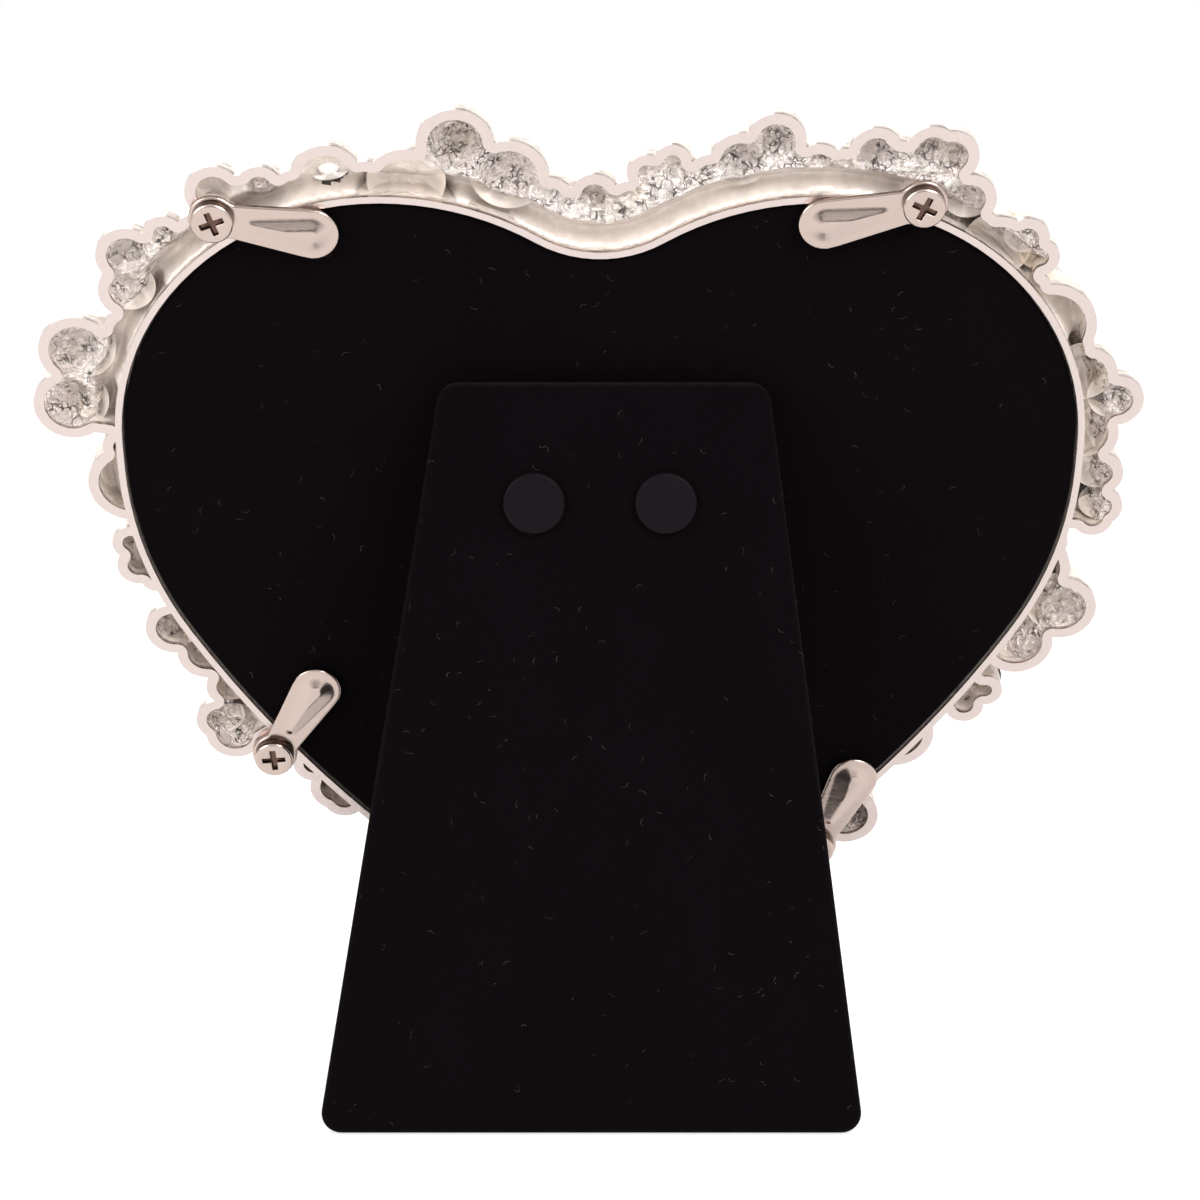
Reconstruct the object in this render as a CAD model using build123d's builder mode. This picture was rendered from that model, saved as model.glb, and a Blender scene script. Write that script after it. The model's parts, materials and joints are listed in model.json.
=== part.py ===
from build123d import *
import math
import os

os.makedirs("parts", exist_ok=True)

# Stance, in degrees
frame_lean = 15.0
easel_open = 21.7
easel_folded = 2.0

# Heart-shaped pocket, as arcs from the notch to the tip of one side
notch_radius = 14.0
notch_sweep = 31.4
shoulder_radius = 34.0
lobe_radius = 31.4
side_length = 3.0
hip_radius = 47.0
hip_sweep = 30.0
flank_radius = 150.0
flank_sweep = 17.0
tip_radius = 8.0

# Casting
curb_wall = 0.8
shell_wall = 1.25
rim_height = 1.6
rim_floor = 0.6
slope_reach = 5.6
slope_wall = 1.2
slope_margin = 3.0
crest_overlap = 0.3
lip_width = 3.0
lip_depth = 3.1
crest_bevel = 2.0
lip_bevel = 0.9
foot_trim = 0.8
foot_setback = 1.2

# Blossoms of the border
border_width = 10.0
dome_draft = 33.0
dome_step = 0.15
dome_least_share = 0.27
cup_lift = 0.4
stem_share = 1.5

# Station along the pocket's outline from the notch, clockwise seen from behind,
# then reach beyond it and radius as shares of the border width
blossom_shares = (
    (0.028, 0.85, 0.23), (0.035, 0.85, 0.22), (0.052, 0.61, 0.36), (0.062, 0.79, 0.34),
    (0.088, 0.66, 0.31), (0.102, 0.82, 0.31), (0.107, 0.84, 0.31), (0.117, 0.45, 0.31),
    (0.134, 0.12, 0.42), (0.138, 0.43, 0.26), (0.145, 0.37, 0.23), (0.189, 0.14, 0.39),
    (0.199, 0.45, 0.33), (0.210, 0.07, 0.41), (0.225, 0.29, 0.29), (0.237, 0.38, 0.26),
    (0.241, 0.32, 0.25), (0.276, 0.40, 0.43), (0.294, 0.18, 0.44), (0.316, 0.27, 0.21),
    (0.325, 0.19, 0.24), (0.387, 0.17, 0.41), (0.428, 0.22, 0.33), (0.441, 0.30, 0.28),
    (0.462, 0.12, 0.36), (0.534, 0.20, 0.34), (0.556, 0.26, 0.30), (0.577, 0.10, 0.36),
    (0.596, 0.12, 0.30), (0.621, 0.07, 0.27), (0.626, 0.02, 0.34),
    (0.666, 0.47, 0.36), (0.673, 0.49, 0.30), (0.682, 0.08, 0.30), (0.698, 0.04, 0.35),
    (0.712, 0.17, 0.35), (0.733, 0.01, 0.20), (0.739, 0.16, 0.25), (0.748, 0.13, 0.23),
    (0.799, 0.60, 0.44), (0.816, 0.64, 0.45), (0.840, 0.42, 0.33), (0.849, 0.66, 0.36),
    (0.861, 0.55, 0.23), (0.892, 0.45, 0.26), (0.934, 0.22, 0.46), (0.946, 0.80, 0.44),
    (0.962, 0.59, 0.46), (0.996, 0.78, 0.28),
)
# Blossom below the tip, which the frame stands on
tip_shares = (0.500, 0.36, 0.36)
# Plain webs between blossoms, in the same shares
web_shares = (
    (0.009, 0.56, 0.30), (0.018, 0.62, 0.28), (0.043, 0.50, 0.31), (0.073, 0.42, 0.31),
    (0.080, 0.40, 0.28), (0.094, 0.56, 0.30), (0.125, 0.18, 0.26), (0.152, 0.08, 0.20),
    (0.178, 0.10, 0.26), (0.253, -0.08, 0.20), (0.349, -0.24, 0.49), (0.639, -0.01, 0.26),
    (0.785, 0.00, 0.24), (0.828, 0.18, 0.29), (0.868, 0.26, 0.30), (0.886, 0.42, 0.28),
    (0.901, 0.24, 0.30), (0.922, 0.22, 0.30), (0.975, 0.50, 0.32), (0.985, 0.52, 0.31),
)
# Settings for half pearls, in the same shares, then their depth as a share of the casting's
pearl_shares = (
    (0.167, -0.03, 0.55, 1.02), (0.266, -0.20, 0.50, 1.04),
    (0.771, -0.04, 0.50, 1.04), (0.880, 0.61, 0.33, 0.36),
)
# Setting for the oval stone, in the same shares
oval_shares = (0.911, 0.34, 0.42, 0.38)
# Blossoms that hold a round stone, by their stations
stone_station_shares = (0.062, 0.107, 0.199, 0.276, 0.666, 0.799, 0.816, 0.849, 0.946, 0.996)

# Settings and stones
setting_top_share = 0.62
setting_wall = 1.2
setting_seat = 0.4
pearl_radius_share = 0.5
oval_length_share = 0.58
oval_width_share = 0.38
oval_hole_share = 0.55
oval_girdle = 0.6
oval_crown = 1.0
stone_clearance = 0.05
stone_radius = 1.25
stone_seat = 0.3
stone_girdle = 0.4
stone_crown = 0.6
stone_table_share = 0.55

# Stack held in the pocket, from the back
pocket_play = 0.25
velvet_drop = 0.25
velvet_pile = 0.5
backing_thickness = 2.0
lining_thickness = 0.25
filler_thickness = 1.2
print_thickness = 0.3
glass_thickness = 2.0

# Turn buttons and their screws
boss_radius = 2.2
boss_rise = 0.1
boss_depth = 3.2
button_play = 0.05
button_thickness = 0.8
button_eye_radius = 2.78
button_waist_radius = 1.8
button_end_radius = 3.05
button_reach = 11.3
button_groove = 0.4
groove_waist_radius = 0.8
groove_end_radius = 1.9
groove_start = 4.6
screw_head_radius = 2.42
screw_head_height = 1.2
screw_head_bevel = 0.2
screw_radius = 1.2
screw_length = 3.8
screw_fit = 0.05
button_fit = 0.08
recess_length = 2.9
recess_width = 0.7
recess_depth = 0.7
# Station of each button's screw, then its reach as a share of the border width
button_shares = {
    "turn_button_top_left": (0.876, 0.38),
    "turn_button_top_right": (0.105, 0.23),
    "turn_button_bottom_left": (0.652, 0.23),
    "turn_button_bottom_right": (0.4025, 0.17),
}
# Heading of each button and turn of its screw's recess, in degrees
button_angles = {
    "turn_button_top_left": (-9.8, 20.0),
    "turn_button_top_right": (193.3, 65.0),
    "turn_button_bottom_left": (59.7, 5.0),
    "turn_button_bottom_right": (66.6, 38.0),
}

# Hinge of the easel
pin_height = 88.7
pin_radius = 0.6
pin_play = 0.05
pin_head_radius = 1.0
pin_head = 0.5
leaf_thickness = 0.6
knuckle_wall = 0.6
knuckle_gap = 0.3
knuckle_lift = 0.3
leaf_width = 24.0
leaf_corner = 1.5
leaf_upstand = 0.8
leaf_notch = 1.6
fixed_leaf_length = 11.0
moving_leaf_length = 13.0
end_knuckle_length = 7.0
backing_rivet_spacing = 7.0
backing_rivet_drop = 6.0
backing_rivet_radius = 1.2
backing_rivet_head_radius = 2.2
backing_rivet_head = 0.7
backing_rivet_bevel = 0.25
backing_rivet_burr_radius = 1.9
backing_rivet_burr = 0.5

# Easel
easel_top_width = 38.2
easel_bottom_width = 66.4
easel_top_shift = 0.5
easel_bottom_shift = -1.1
easel_top_reach = 6.2
easel_corner = 2.4
easel_board_thickness = 2.0
easel_lining_thickness = 0.3
easel_velvet_edge = 0.45
easel_foot_trim = 0.1
easel_leaf_clearance = 0.05
easel_rivet_spacing = 15.4
easel_rivet_drop = 7.6
easel_rivet_radius = 1.5
easel_rivet_cap_radius = 3.6
easel_rivet_cap = 0.9
easel_rivet_bevel = 0.35
easel_rivet_burr_radius = 2.2
easel_rivet_burr = 0.5
rivet_clearance = 0.05

# One overrun serves every through cut
overrun = 30.0

# Levels of the stack, measured from the casting's back rim
velvet_level = -velvet_drop
board_level = velvet_level - velvet_pile
lining_level = board_level - backing_thickness
filler_level = lining_level - lining_thickness
print_level = filler_level - filler_thickness
glass_level = print_level - print_thickness
pocket_depth = glass_thickness - glass_level
casting_depth = pocket_depth + lip_depth

lean = math.radians(frame_lean)
back_plane = Plane(
    origin=(0, foot_setback, -foot_trim),
    x_dir=(-1, 0, 0),
    z_dir=(0, math.cos(lean), -math.sin(lean)),
)
back_axis = Axis(back_plane.origin, back_plane.z_dir)
front_side = (Align.CENTER, Align.CENTER, Align.MAX)
back_side = (Align.CENTER, Align.CENTER, Align.MIN)


def shape_half_heart():
    """Half of the pocket's outline, with the notch at the origin."""
    straight_heading = -90.0 - hip_sweep - flank_sweep
    turn_left = 180.0 + straight_heading
    heading = math.radians(straight_heading)
    ahead = Vector(math.cos(heading), math.sin(heading))
    with BuildLine(Plane.XY) as half:
        notch = JernArc((0, 0), (1, 0), notch_radius, notch_sweep)
        shoulder = JernArc(notch @ 1, notch % 1, shoulder_radius, -notch_sweep)
        lobe = JernArc(shoulder @ 1, shoulder % 1, lobe_radius, -90.0)
        side = Line(lobe @ 1, (lobe @ 1) - Vector(0, side_length))
        hip = JernArc(side @ 1, (0, -1), hip_radius, -hip_sweep)
        flank = JernArc(hip @ 1, hip % 1, flank_radius, -flank_sweep)
        tip_start = tip_radius * math.sin(math.radians(turn_left))
        run = ((flank @ 1).X - tip_start) / -ahead.X
        straight = Line(flank @ 1, (flank @ 1) + ahead * run)
        JernArc(straight @ 1, ahead, tip_radius, -turn_left)
    return half.line


tip_border = (tip_shares[1] + tip_shares[2]) * border_width
loose_half = shape_half_heart()
half_heart = loose_half.moved(Location((0, tip_border - loose_half.bounding_box().min.Y)))
half_wire = Wire(half_heart.edges())

with BuildSketch(Plane.XY) as pocket_shape:
    with BuildLine():
        add(half_heart)
        mirror(about=Plane.YZ)
    make_face()


def grown(amount):
    """The pocket's shape with its outline moved outwards by the amount."""
    with BuildSketch(Plane.XY) as shape:
        add(pocket_shape.sketch)
        offset(amount=amount, kind=Kind.ARC)
    return shape.sketch


def border_point(station, reach):
    """Point at a station of the pocket's outline, moved outwards by the reach."""
    along = 2 * min(station, 1 - station)
    side = math.copysign(1, 0.5 - station)
    point = half_wire @ along
    ahead = half_wire % along
    return (side * (point.X - ahead.Y * reach), point.Y + ahead.X * reach)


def border_heading(station):
    """Angle of the outward direction at a station."""
    root = border_point(station, 0)
    end = border_point(station, border_width)
    return math.degrees(math.atan2(end[1] - root[1], end[0] - root[0]))


def lobe_pieces(station, reach_share, radius_share):
    """Disc of one lobe and the strip that joins it to the pocket."""
    reach = reach_share * border_width
    radius = radius_share * border_width
    pieces = [Pos(*border_point(station, reach)) * Circle(radius)]
    if reach > 0:
        strip = Rectangle(reach, stem_share * radius, align=(Align.MIN, Align.CENTER))
        pieces.append(Pos(*border_point(station, 0)) * Rot(0, 0, border_heading(station)) * strip)
    return pieces


crest_shape = grown(curb_wall)
lip_shape = grown(-lip_width)
sheet_shape = grown(-pocket_play)
settings_shares = pearl_shares + (oval_shares,)
domed_shares = blossom_shares + (tip_shares,)
lobes = domed_shares + web_shares + tuple(shares[:3] for shares in settings_shares)

ragged_pieces = [piece for shares in lobes for piece in lobe_pieces(*shares)]
with BuildSketch(Plane.XY) as ragged_shape:
    add(grown(curb_wall - crest_overlap))
    add(ragged_pieces)
border_outline = ragged_shape.sketch.faces().sort_by(SortBy.AREA)[-1].outer_wire()

with BuildSketch(Plane.XY) as hollow_shape:
    add(Face(border_outline))
    offset(amount=-shell_wall, kind=Kind.ARC)

with BuildSketch(Plane.XY) as border_shape:
    add(Face(border_outline))
    add(lip_shape, mode=Mode.SUBTRACT)

# The border's front falls from the crest to the rim, and its hollow follows it
slope_depth = casting_depth - crest_bevel
draft = math.radians(dome_draft)


def slope(reach, height, depth):
    """Plate of a height over the border, with a slope from the reach down to the crest."""
    with BuildPart(Plane.XY) as form:
        with BuildSketch(Plane.XY.offset(-height)):
            add(grown(reach))
        with BuildSketch(Plane.XY.offset(-depth)):
            add(grown(curb_wall - 2 * crest_overlap))
        loft(ruled=True)
        with BuildSketch(Plane.XY):
            add(grown(border_width + slope_margin))
        extrude(amount=-height)
    return form.part


def cap_height(radius):
    """Height of a blossom's round front, which has draft all round."""
    return radius * (1 - math.sin(draft)) / math.cos(draft)


def dome(shares, inset, height):
    """Column of a height with a round front, inside the disc of one blossom."""
    radius = shares[2] * border_width - inset
    column = Cylinder(radius, height, align=front_side)
    cap = Sphere(radius / math.cos(draft), arc_size1=-90, arc_size2=-dome_draft, align=front_side)
    place = Pos(*border_point(shares[0], shares[1] * border_width))
    return place * (column + Pos(0, 0, -height) * cap)


def setting(shares, inset, height, wall):
    """Column of a height that narrows to its front less a wall, inside the disc of one setting."""
    radius = shares[2] * border_width
    column = Cylinder(radius - inset, height, align=front_side)
    cone = Cone(
        bottom_radius=setting_top_share * radius - wall,
        top_radius=radius - inset,
        height=shares[3] * casting_depth - height - wall,
        align=front_side,
    )
    place = Pos(*border_point(shares[0], shares[1] * border_width))
    return place * (column + Pos(0, 0, -height) * cone)


cup_height = rim_height - cup_lift
domed_lobes = [shares for shares in domed_shares if shares[2] > dome_least_share]
domes = [dome(shares, dome_step, rim_height) for shares in domed_lobes]
cups = [dome(shares, shell_wall, cup_height) for shares in domed_lobes]
settings = [setting(shares, dome_step, rim_height, 0) for shares in settings_shares]
setting_cups = [setting(shares, shell_wall, cup_height, setting_wall) for shares in settings_shares]

with BuildPart(Plane.XY) as trough:
    with BuildSketch(Plane.XY):
        add(hollow_shape.sketch)
    extrude(amount=-casting_depth)
    add(
        slope(slope_reach - slope_wall, rim_height - rim_floor, slope_depth - slope_wall),
        mode=Mode.INTERSECT,
    )

posts = {
    name: border_point(shares[0], shares[1] * border_width) for name, shares in button_shares.items()
}


def front_place(shares, level):
    """Point of the border at a level, for a stone."""
    return (*border_point(shares[0], shares[1] * border_width), level)


stone_places = [
    front_place(shares, stone_seat - rim_height - cap_height(shares[2] * border_width - dome_step))
    for shares in blossom_shares
    if shares[0] in stone_station_shares
]
pearl_places = [
    front_place(shares, setting_seat - shares[3] * casting_depth) for shares in pearl_shares
]
pearl_radii = [pearl_radius_share * shares[2] * border_width for shares in pearl_shares]
oval_place = front_place(oval_shares, setting_seat - oval_shares[3] * casting_depth)


def oval_shape(share, clearance):
    """Oval along the border at its setting, as a share of the stone's size."""
    size = share * oval_shares[2] * border_width
    with BuildSketch(Plane.XY) as shape:
        with Locations((oval_place[0], oval_place[1])):
            Ellipse(
                oval_length_share * size + clearance,
                oval_width_share * size + clearance,
                rotation=border_heading(oval_shares[0]) + 90,
            )
    return shape.sketch


oval_seat_shape = oval_shape(1, stone_clearance)
oval_hole_shape = oval_shape(oval_hole_share, 0)
oval_stone_shape = oval_shape(1, 0)
oval_table_shape = oval_shape(stone_table_share, 0)

with BuildPart(Plane.XY) as crest:
    with BuildSketch(Plane.XY):
        add(crest_shape)
        add(lip_shape, mode=Mode.SUBTRACT)
    extrude(amount=-casting_depth)
    chamfer(crest.faces().sort_by(Axis.Z)[0].outer_wire().edges(), crest_bevel)
    chamfer(crest.faces().sort_by(Axis.Z)[0].inner_wires()[0].edges(), lip_bevel)

with BuildPart(Plane.XY) as bosses:
    with Locations(*posts.values()):
        with Locations((0, 0, boss_rise)):
            Cylinder(boss_radius, boss_rise + boss_depth, align=front_side)
        with Locations((0, 0, -boss_depth)):
            Sphere(
                boss_radius / math.cos(draft),
                arc_size1=-90,
                arc_size2=-dome_draft,
                align=front_side,
            )

with BuildPart(Plane.XY) as pocket:
    with BuildSketch(Plane.XY.offset(boss_rise)):
        add(pocket_shape.sketch)
    extrude(amount=-pocket_depth - boss_rise)
    with Locations(*posts.values()):
        with Locations((0, 0, boss_rise)):
            Cylinder(screw_radius + screw_fit, screw_length, align=front_side)

with BuildPart(Plane.XY) as seats:
    with Locations(*stone_places):
        Cylinder(stone_radius + stone_clearance, overrun, align=front_side)
    for place, radius in zip(pearl_places, pearl_radii):
        with Locations(place):
            Cylinder(radius + stone_clearance, overrun, align=front_side)
    with BuildSketch(Plane.XY.offset(oval_place[2])):
        add(oval_seat_shape)
    extrude(amount=-overrun)
    with BuildSketch(Plane.XY):
        add(oval_hole_shape)
    extrude(amount=-overrun)

with BuildPart(back_plane) as frame_casting:
    with BuildSketch(back_plane):
        add(border_shape.sketch)
    extrude(amount=-casting_depth)
    add(slope(slope_reach, rim_height, slope_depth), mode=Mode.INTERSECT)
    add(domes + settings)
    add([trough.part] + cups + setting_cups, mode=Mode.SUBTRACT)
    add([crest.part, bosses.part])
    add([pocket.part, seats.part], mode=Mode.SUBTRACT)
    split(bisect_by=Plane.XY, keep=Keep.TOP)
frame_casting.part.label = "frame_casting"
export_step(frame_casting.part, "parts/frame_casting.step")

with BuildPart(back_plane) as round_stones:
    with Locations(*stone_places):
        Cylinder(stone_radius, stone_girdle, align=front_side)
        with Locations((0, 0, -stone_girdle)):
            Cone(
                bottom_radius=stone_table_share * stone_radius,
                top_radius=stone_radius,
                height=stone_crown,
                align=front_side,
            )
round_stones.part.label = "round_stones"
export_step(round_stones.part, "parts/round_stones.step")

with BuildPart(back_plane) as half_pearls:
    for place, radius in zip(pearl_places, pearl_radii):
        with Locations(place):
            Cylinder(radius, setting_seat, align=front_side)
            with Locations((0, 0, -setting_seat)):
                Sphere(radius, arc_size1=-90, arc_size2=0, align=front_side)
half_pearls.part.label = "half_pearls"
export_step(half_pearls.part, "parts/half_pearls.step")

with BuildPart(back_plane) as oval_stone:
    with BuildSketch(back_plane.offset(oval_place[2])):
        add(oval_stone_shape)
    extrude(amount=-oval_girdle)
    with BuildSketch(back_plane.offset(oval_place[2] - oval_girdle)):
        add(oval_stone_shape)
    with BuildSketch(back_plane.offset(oval_place[2] - oval_girdle - oval_crown)):
        add(oval_table_shape)
    loft(ruled=True)
oval_stone.part.label = "oval_stone"
export_step(oval_stone.part, "parts/oval_stone.step")


# The easel's hinge, its pin along the frame's width
pin_level = velvet_level + knuckle_lift + pin_radius + pin_play + knuckle_wall
knuckle_radius = pin_radius + pin_play + knuckle_wall
pin_place = back_plane.from_local_coords((0, pin_height, pin_level))
hinge_plane = Plane(origin=pin_place, x_dir=back_plane.x_dir, z_dir=back_plane.z_dir)
easel_tilt = math.radians(easel_open - frame_lean)
easel_plane = Plane(
    origin=pin_place,
    x_dir=(-1, 0, 0),
    z_dir=(0, math.cos(easel_tilt), math.sin(easel_tilt)),
)
side_plane = Plane(origin=pin_place, x_dir=(0, 1, 0), z_dir=(1, 0, 0))

leaf_back = velvet_level - pin_level + leaf_thickness
backing_rivet_places = [
    (side * backing_rivet_spacing / 2, pin_height - backing_rivet_drop) for side in (-1, 1)
]
easel_rivet_places = [
    (side * easel_rivet_spacing / 2, -easel_rivet_drop) for side in (-1, 1)
]


with BuildPart(back_plane) as glass_pane:
    with BuildSketch(back_plane.offset(glass_level)):
        add(sheet_shape)
    extrude(amount=-glass_thickness)
glass_pane.part.label = "glass_pane"
export_step(glass_pane.part, "parts/glass_pane.step")

with BuildPart(back_plane) as photo_print:
    with BuildSketch(back_plane.offset(print_level)):
        add(sheet_shape)
    extrude(amount=-print_thickness)
photo_print.part.label = "photo_print"
export_step(photo_print.part, "parts/photo_print.step")

with BuildPart(back_plane) as filler_card:
    with BuildSketch(back_plane.offset(filler_level)):
        add(sheet_shape)
        with Locations(*backing_rivet_places):
            Circle(backing_rivet_burr_radius + 2 * rivet_clearance, mode=Mode.SUBTRACT)
    extrude(amount=-filler_thickness)
filler_card.part.label = "filler_card"
export_step(filler_card.part, "parts/filler_card.step")

# The backing: lining, board and velvet, riveted through
with BuildSketch(Plane.XY) as riveted_shape:
    add(sheet_shape)
    with Locations(*backing_rivet_places):
        Circle(backing_rivet_radius + rivet_clearance, mode=Mode.SUBTRACT)

with BuildPart(back_plane) as backing_lining:
    with BuildSketch(back_plane.offset(lining_level)):
        add(riveted_shape.sketch)
    extrude(amount=-lining_thickness)
backing_lining.part.label = "backing_lining"
export_step(backing_lining.part, "parts/backing_lining.step")

with BuildPart(back_plane) as backing_board:
    with BuildSketch(back_plane.offset(board_level)):
        add(riveted_shape.sketch)
    extrude(amount=-backing_thickness)
backing_board.part.label = "backing_board"
export_step(backing_board.part, "parts/backing_board.step")

with BuildPart(back_plane) as backing_velvet:
    with BuildSketch(back_plane.offset(velvet_level)):
        add(riveted_shape.sketch)
    extrude(amount=-velvet_pile)
backing_velvet.part.label = "backing_velvet"
export_step(backing_velvet.part, "parts/backing_velvet.step")

# Turn buttons, each on its screw
button_level = boss_rise + button_play + button_thickness
for name, place in posts.items():
    heading = math.radians(button_angles[name][0])
    button_plane = Plane(
        origin=back_plane.from_local_coords((*place, button_level)),
        x_dir=back_plane.x_dir * math.cos(heading) + back_plane.y_dir * math.sin(heading),
        z_dir=back_plane.z_dir,
    )
    with BuildPart(button_plane) as turn_button:
        with BuildSketch(button_plane):
            with BuildLine():
                CenterArc((0, 0), button_waist_radius, 0, 360)
                CenterArc((button_reach, 0), button_end_radius, 0, 360)
            make_hull()
            Circle(button_eye_radius)
            Circle(screw_radius + button_fit, mode=Mode.SUBTRACT)
        extrude(amount=-button_thickness)
        with BuildSketch(button_plane):
            with BuildLine():
                CenterArc((groove_start, 0), groove_waist_radius, 0, 360)
                CenterArc((button_reach, 0), groove_end_radius, 0, 360)
            make_hull()
        extrude(amount=-button_groove, mode=Mode.SUBTRACT)
    turn_button.part.label = name
    export_step(turn_button.part, f"parts/{name}.step")

head_level = button_level + button_play
with BuildPart(back_plane) as turn_button_screws:
    for name, place in posts.items():
        with Locations((*place, head_level)):
            with Locations(Rot(0, 0, button_angles[name][1])):
                Cylinder(screw_head_radius, screw_head_height - screw_head_bevel, align=back_side)
                with Locations((0, 0, screw_head_height - screw_head_bevel)):
                    Cone(
                        bottom_radius=screw_head_radius,
                        top_radius=screw_head_radius - screw_head_bevel,
                        height=screw_head_bevel,
                        align=back_side,
                    )
                with Locations((0, 0, screw_head_height)):
                    Box(
                        recess_length,
                        recess_width,
                        2 * recess_depth,
                        mode=Mode.SUBTRACT,
                    )
                    Box(
                        recess_width,
                        recess_length,
                        2 * recess_depth,
                        mode=Mode.SUBTRACT,
                    )
            Cylinder(screw_radius, screw_length, align=front_side)
turn_button_screws.part.label = "turn_button_screws"
export_step(turn_button_screws.part, "parts/turn_button_screws.step")

# Hinge leaves
center_knuckle_length = leaf_width - 2 * (end_knuckle_length + knuckle_gap)
end_knuckle_shift = (leaf_width - end_knuckle_length) / 2
with BuildPart(hinge_plane) as hinge_fixed_leaf:
    with BuildSketch(hinge_plane.offset(leaf_back)) as fixed_plate:
        with Locations((0, leaf_upstand)):
            Rectangle(leaf_width, leaf_upstand + fixed_leaf_length, align=(Align.CENTER, Align.MAX))
        fillet(fixed_plate.vertices().group_by(Axis.Y)[0], leaf_corner)
        with Locations((0, leaf_upstand)):
            Rectangle(
                center_knuckle_length + 2 * knuckle_gap,
                leaf_upstand + leaf_notch,
                align=(Align.CENTER, Align.MAX),
                mode=Mode.SUBTRACT,
            )
        with Locations((0, -backing_rivet_drop)):
            with GridLocations(backing_rivet_spacing, 0, 2, 1):
                Circle(backing_rivet_radius + rivet_clearance, mode=Mode.SUBTRACT)
    extrude(amount=-leaf_thickness)
    with BuildSketch(side_plane.offset(-leaf_width / 2)):
        Circle(knuckle_radius)
    extrude(amount=end_knuckle_length)
    with BuildSketch(side_plane.offset(leaf_width / 2)):
        Circle(knuckle_radius)
    extrude(amount=-end_knuckle_length)
    with BuildSketch(side_plane):
        Circle(pin_radius + pin_play)
    extrude(amount=leaf_width, both=True, mode=Mode.SUBTRACT)
hinge_fixed_leaf.part.label = "hinge_fixed_leaf"
export_step(hinge_fixed_leaf.part, "parts/hinge_fixed_leaf.step")

with BuildPart(easel_plane) as hinge_moving_leaf:
    with BuildSketch(easel_plane.offset(knuckle_radius)) as moving_plate:
        Rectangle(leaf_width, moving_leaf_length, align=(Align.CENTER, Align.MAX))
        fillet(moving_plate.vertices().group_by(Axis.Y)[0], leaf_corner)
        with Locations((-leaf_width / 2, 0), (leaf_width / 2, 0)):
            Rectangle(
                2 * (end_knuckle_length + knuckle_gap),
                2 * leaf_notch,
                mode=Mode.SUBTRACT,
            )
        with Locations((0, -easel_rivet_drop)):
            with GridLocations(easel_rivet_spacing, 0, 2, 1):
                Circle(easel_rivet_radius + rivet_clearance, mode=Mode.SUBTRACT)
    extrude(amount=-leaf_thickness)
    with BuildSketch(side_plane.offset(-center_knuckle_length / 2)):
        Circle(knuckle_radius)
    extrude(amount=center_knuckle_length)
    with BuildSketch(side_plane):
        Circle(pin_radius + pin_play)
    extrude(amount=leaf_width, both=True, mode=Mode.SUBTRACT)
hinge_moving_leaf.part.label = "hinge_moving_leaf"
export_step(hinge_moving_leaf.part, "parts/hinge_moving_leaf.step")

with BuildPart() as hinge_pin:
    with BuildSketch(side_plane.offset(-leaf_width / 2)):
        Circle(pin_radius)
    extrude(amount=leaf_width)
    with BuildSketch(side_plane.offset(leaf_width / 2)):
        Circle(pin_head_radius)
    extrude(amount=pin_head)
    with BuildSketch(side_plane.offset(-leaf_width / 2)):
        Circle(pin_head_radius)
    extrude(amount=-pin_head)
hinge_pin.part.label = "hinge_pin"
export_step(hinge_pin.part, "parts/hinge_pin.step")

rivet_head_level = pin_level + leaf_back
with BuildPart(back_plane) as backing_rivets:
    with Locations(*[(*place, rivet_head_level) for place in backing_rivet_places]):
        Cylinder(backing_rivet_head_radius, backing_rivet_head, align=back_side)
        Cylinder(
            backing_rivet_radius,
            rivet_head_level - filler_level,
            align=front_side,
        )
    with Locations(*[(*place, filler_level) for place in backing_rivet_places]):
        Cylinder(backing_rivet_burr_radius, backing_rivet_burr, align=front_side)
    fillet(backing_rivets.faces().sort_by(back_axis)[-2:].edges(), backing_rivet_bevel)
backing_rivets.part.label = "backing_rivets"
export_step(backing_rivets.part, "parts/backing_rivets.step")

# The easel: lining, board and velvet, cut flat where it stands
lining_back = knuckle_radius + easel_leaf_clearance
board_back = lining_back + easel_lining_thickness
velvet_front = board_back + easel_board_thickness
velvet_back = velvet_front + easel_velvet_edge
easel_fall = pin_place.Z + lining_back * math.sin(easel_tilt) + easel_foot_trim
easel_drop = easel_fall / math.cos(easel_tilt)


def easel_shape(inset):
    """Outline of the easel in its own plane, moved inwards by the inset."""
    with BuildSketch(Plane.XY) as shape:
        with BuildLine():
            Polyline(
                (easel_top_shift - easel_top_width / 2, easel_top_reach),
                (easel_top_shift + easel_top_width / 2, easel_top_reach),
                (easel_bottom_shift + easel_bottom_width / 2, -easel_drop),
                (easel_bottom_shift - easel_bottom_width / 2, -easel_drop),
                close=True,
            )
        make_face()
        fillet(shape.vertices(), easel_corner)
        if inset:
            offset(amount=-inset, kind=Kind.ARC)
        with Locations(*easel_rivet_places):
            Circle(easel_rivet_radius + rivet_clearance, mode=Mode.SUBTRACT)
    return shape.sketch


easel_inner_shape = easel_shape(easel_velvet_edge)
easel_outer_shape = easel_shape(0)

with BuildPart(easel_plane) as easel_lining:
    with BuildSketch(easel_plane.offset(lining_back)):
        add(easel_inner_shape)
    extrude(amount=easel_lining_thickness)
easel_lining.part.label = "easel_lining"
export_step(easel_lining.part, "parts/easel_lining.step")

with BuildPart(easel_plane) as easel_board:
    with BuildSketch(easel_plane.offset(board_back)):
        add(easel_inner_shape)
    extrude(amount=easel_board_thickness)
easel_board.part.label = "easel_board"
export_step(easel_board.part, "parts/easel_board.step")

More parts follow.
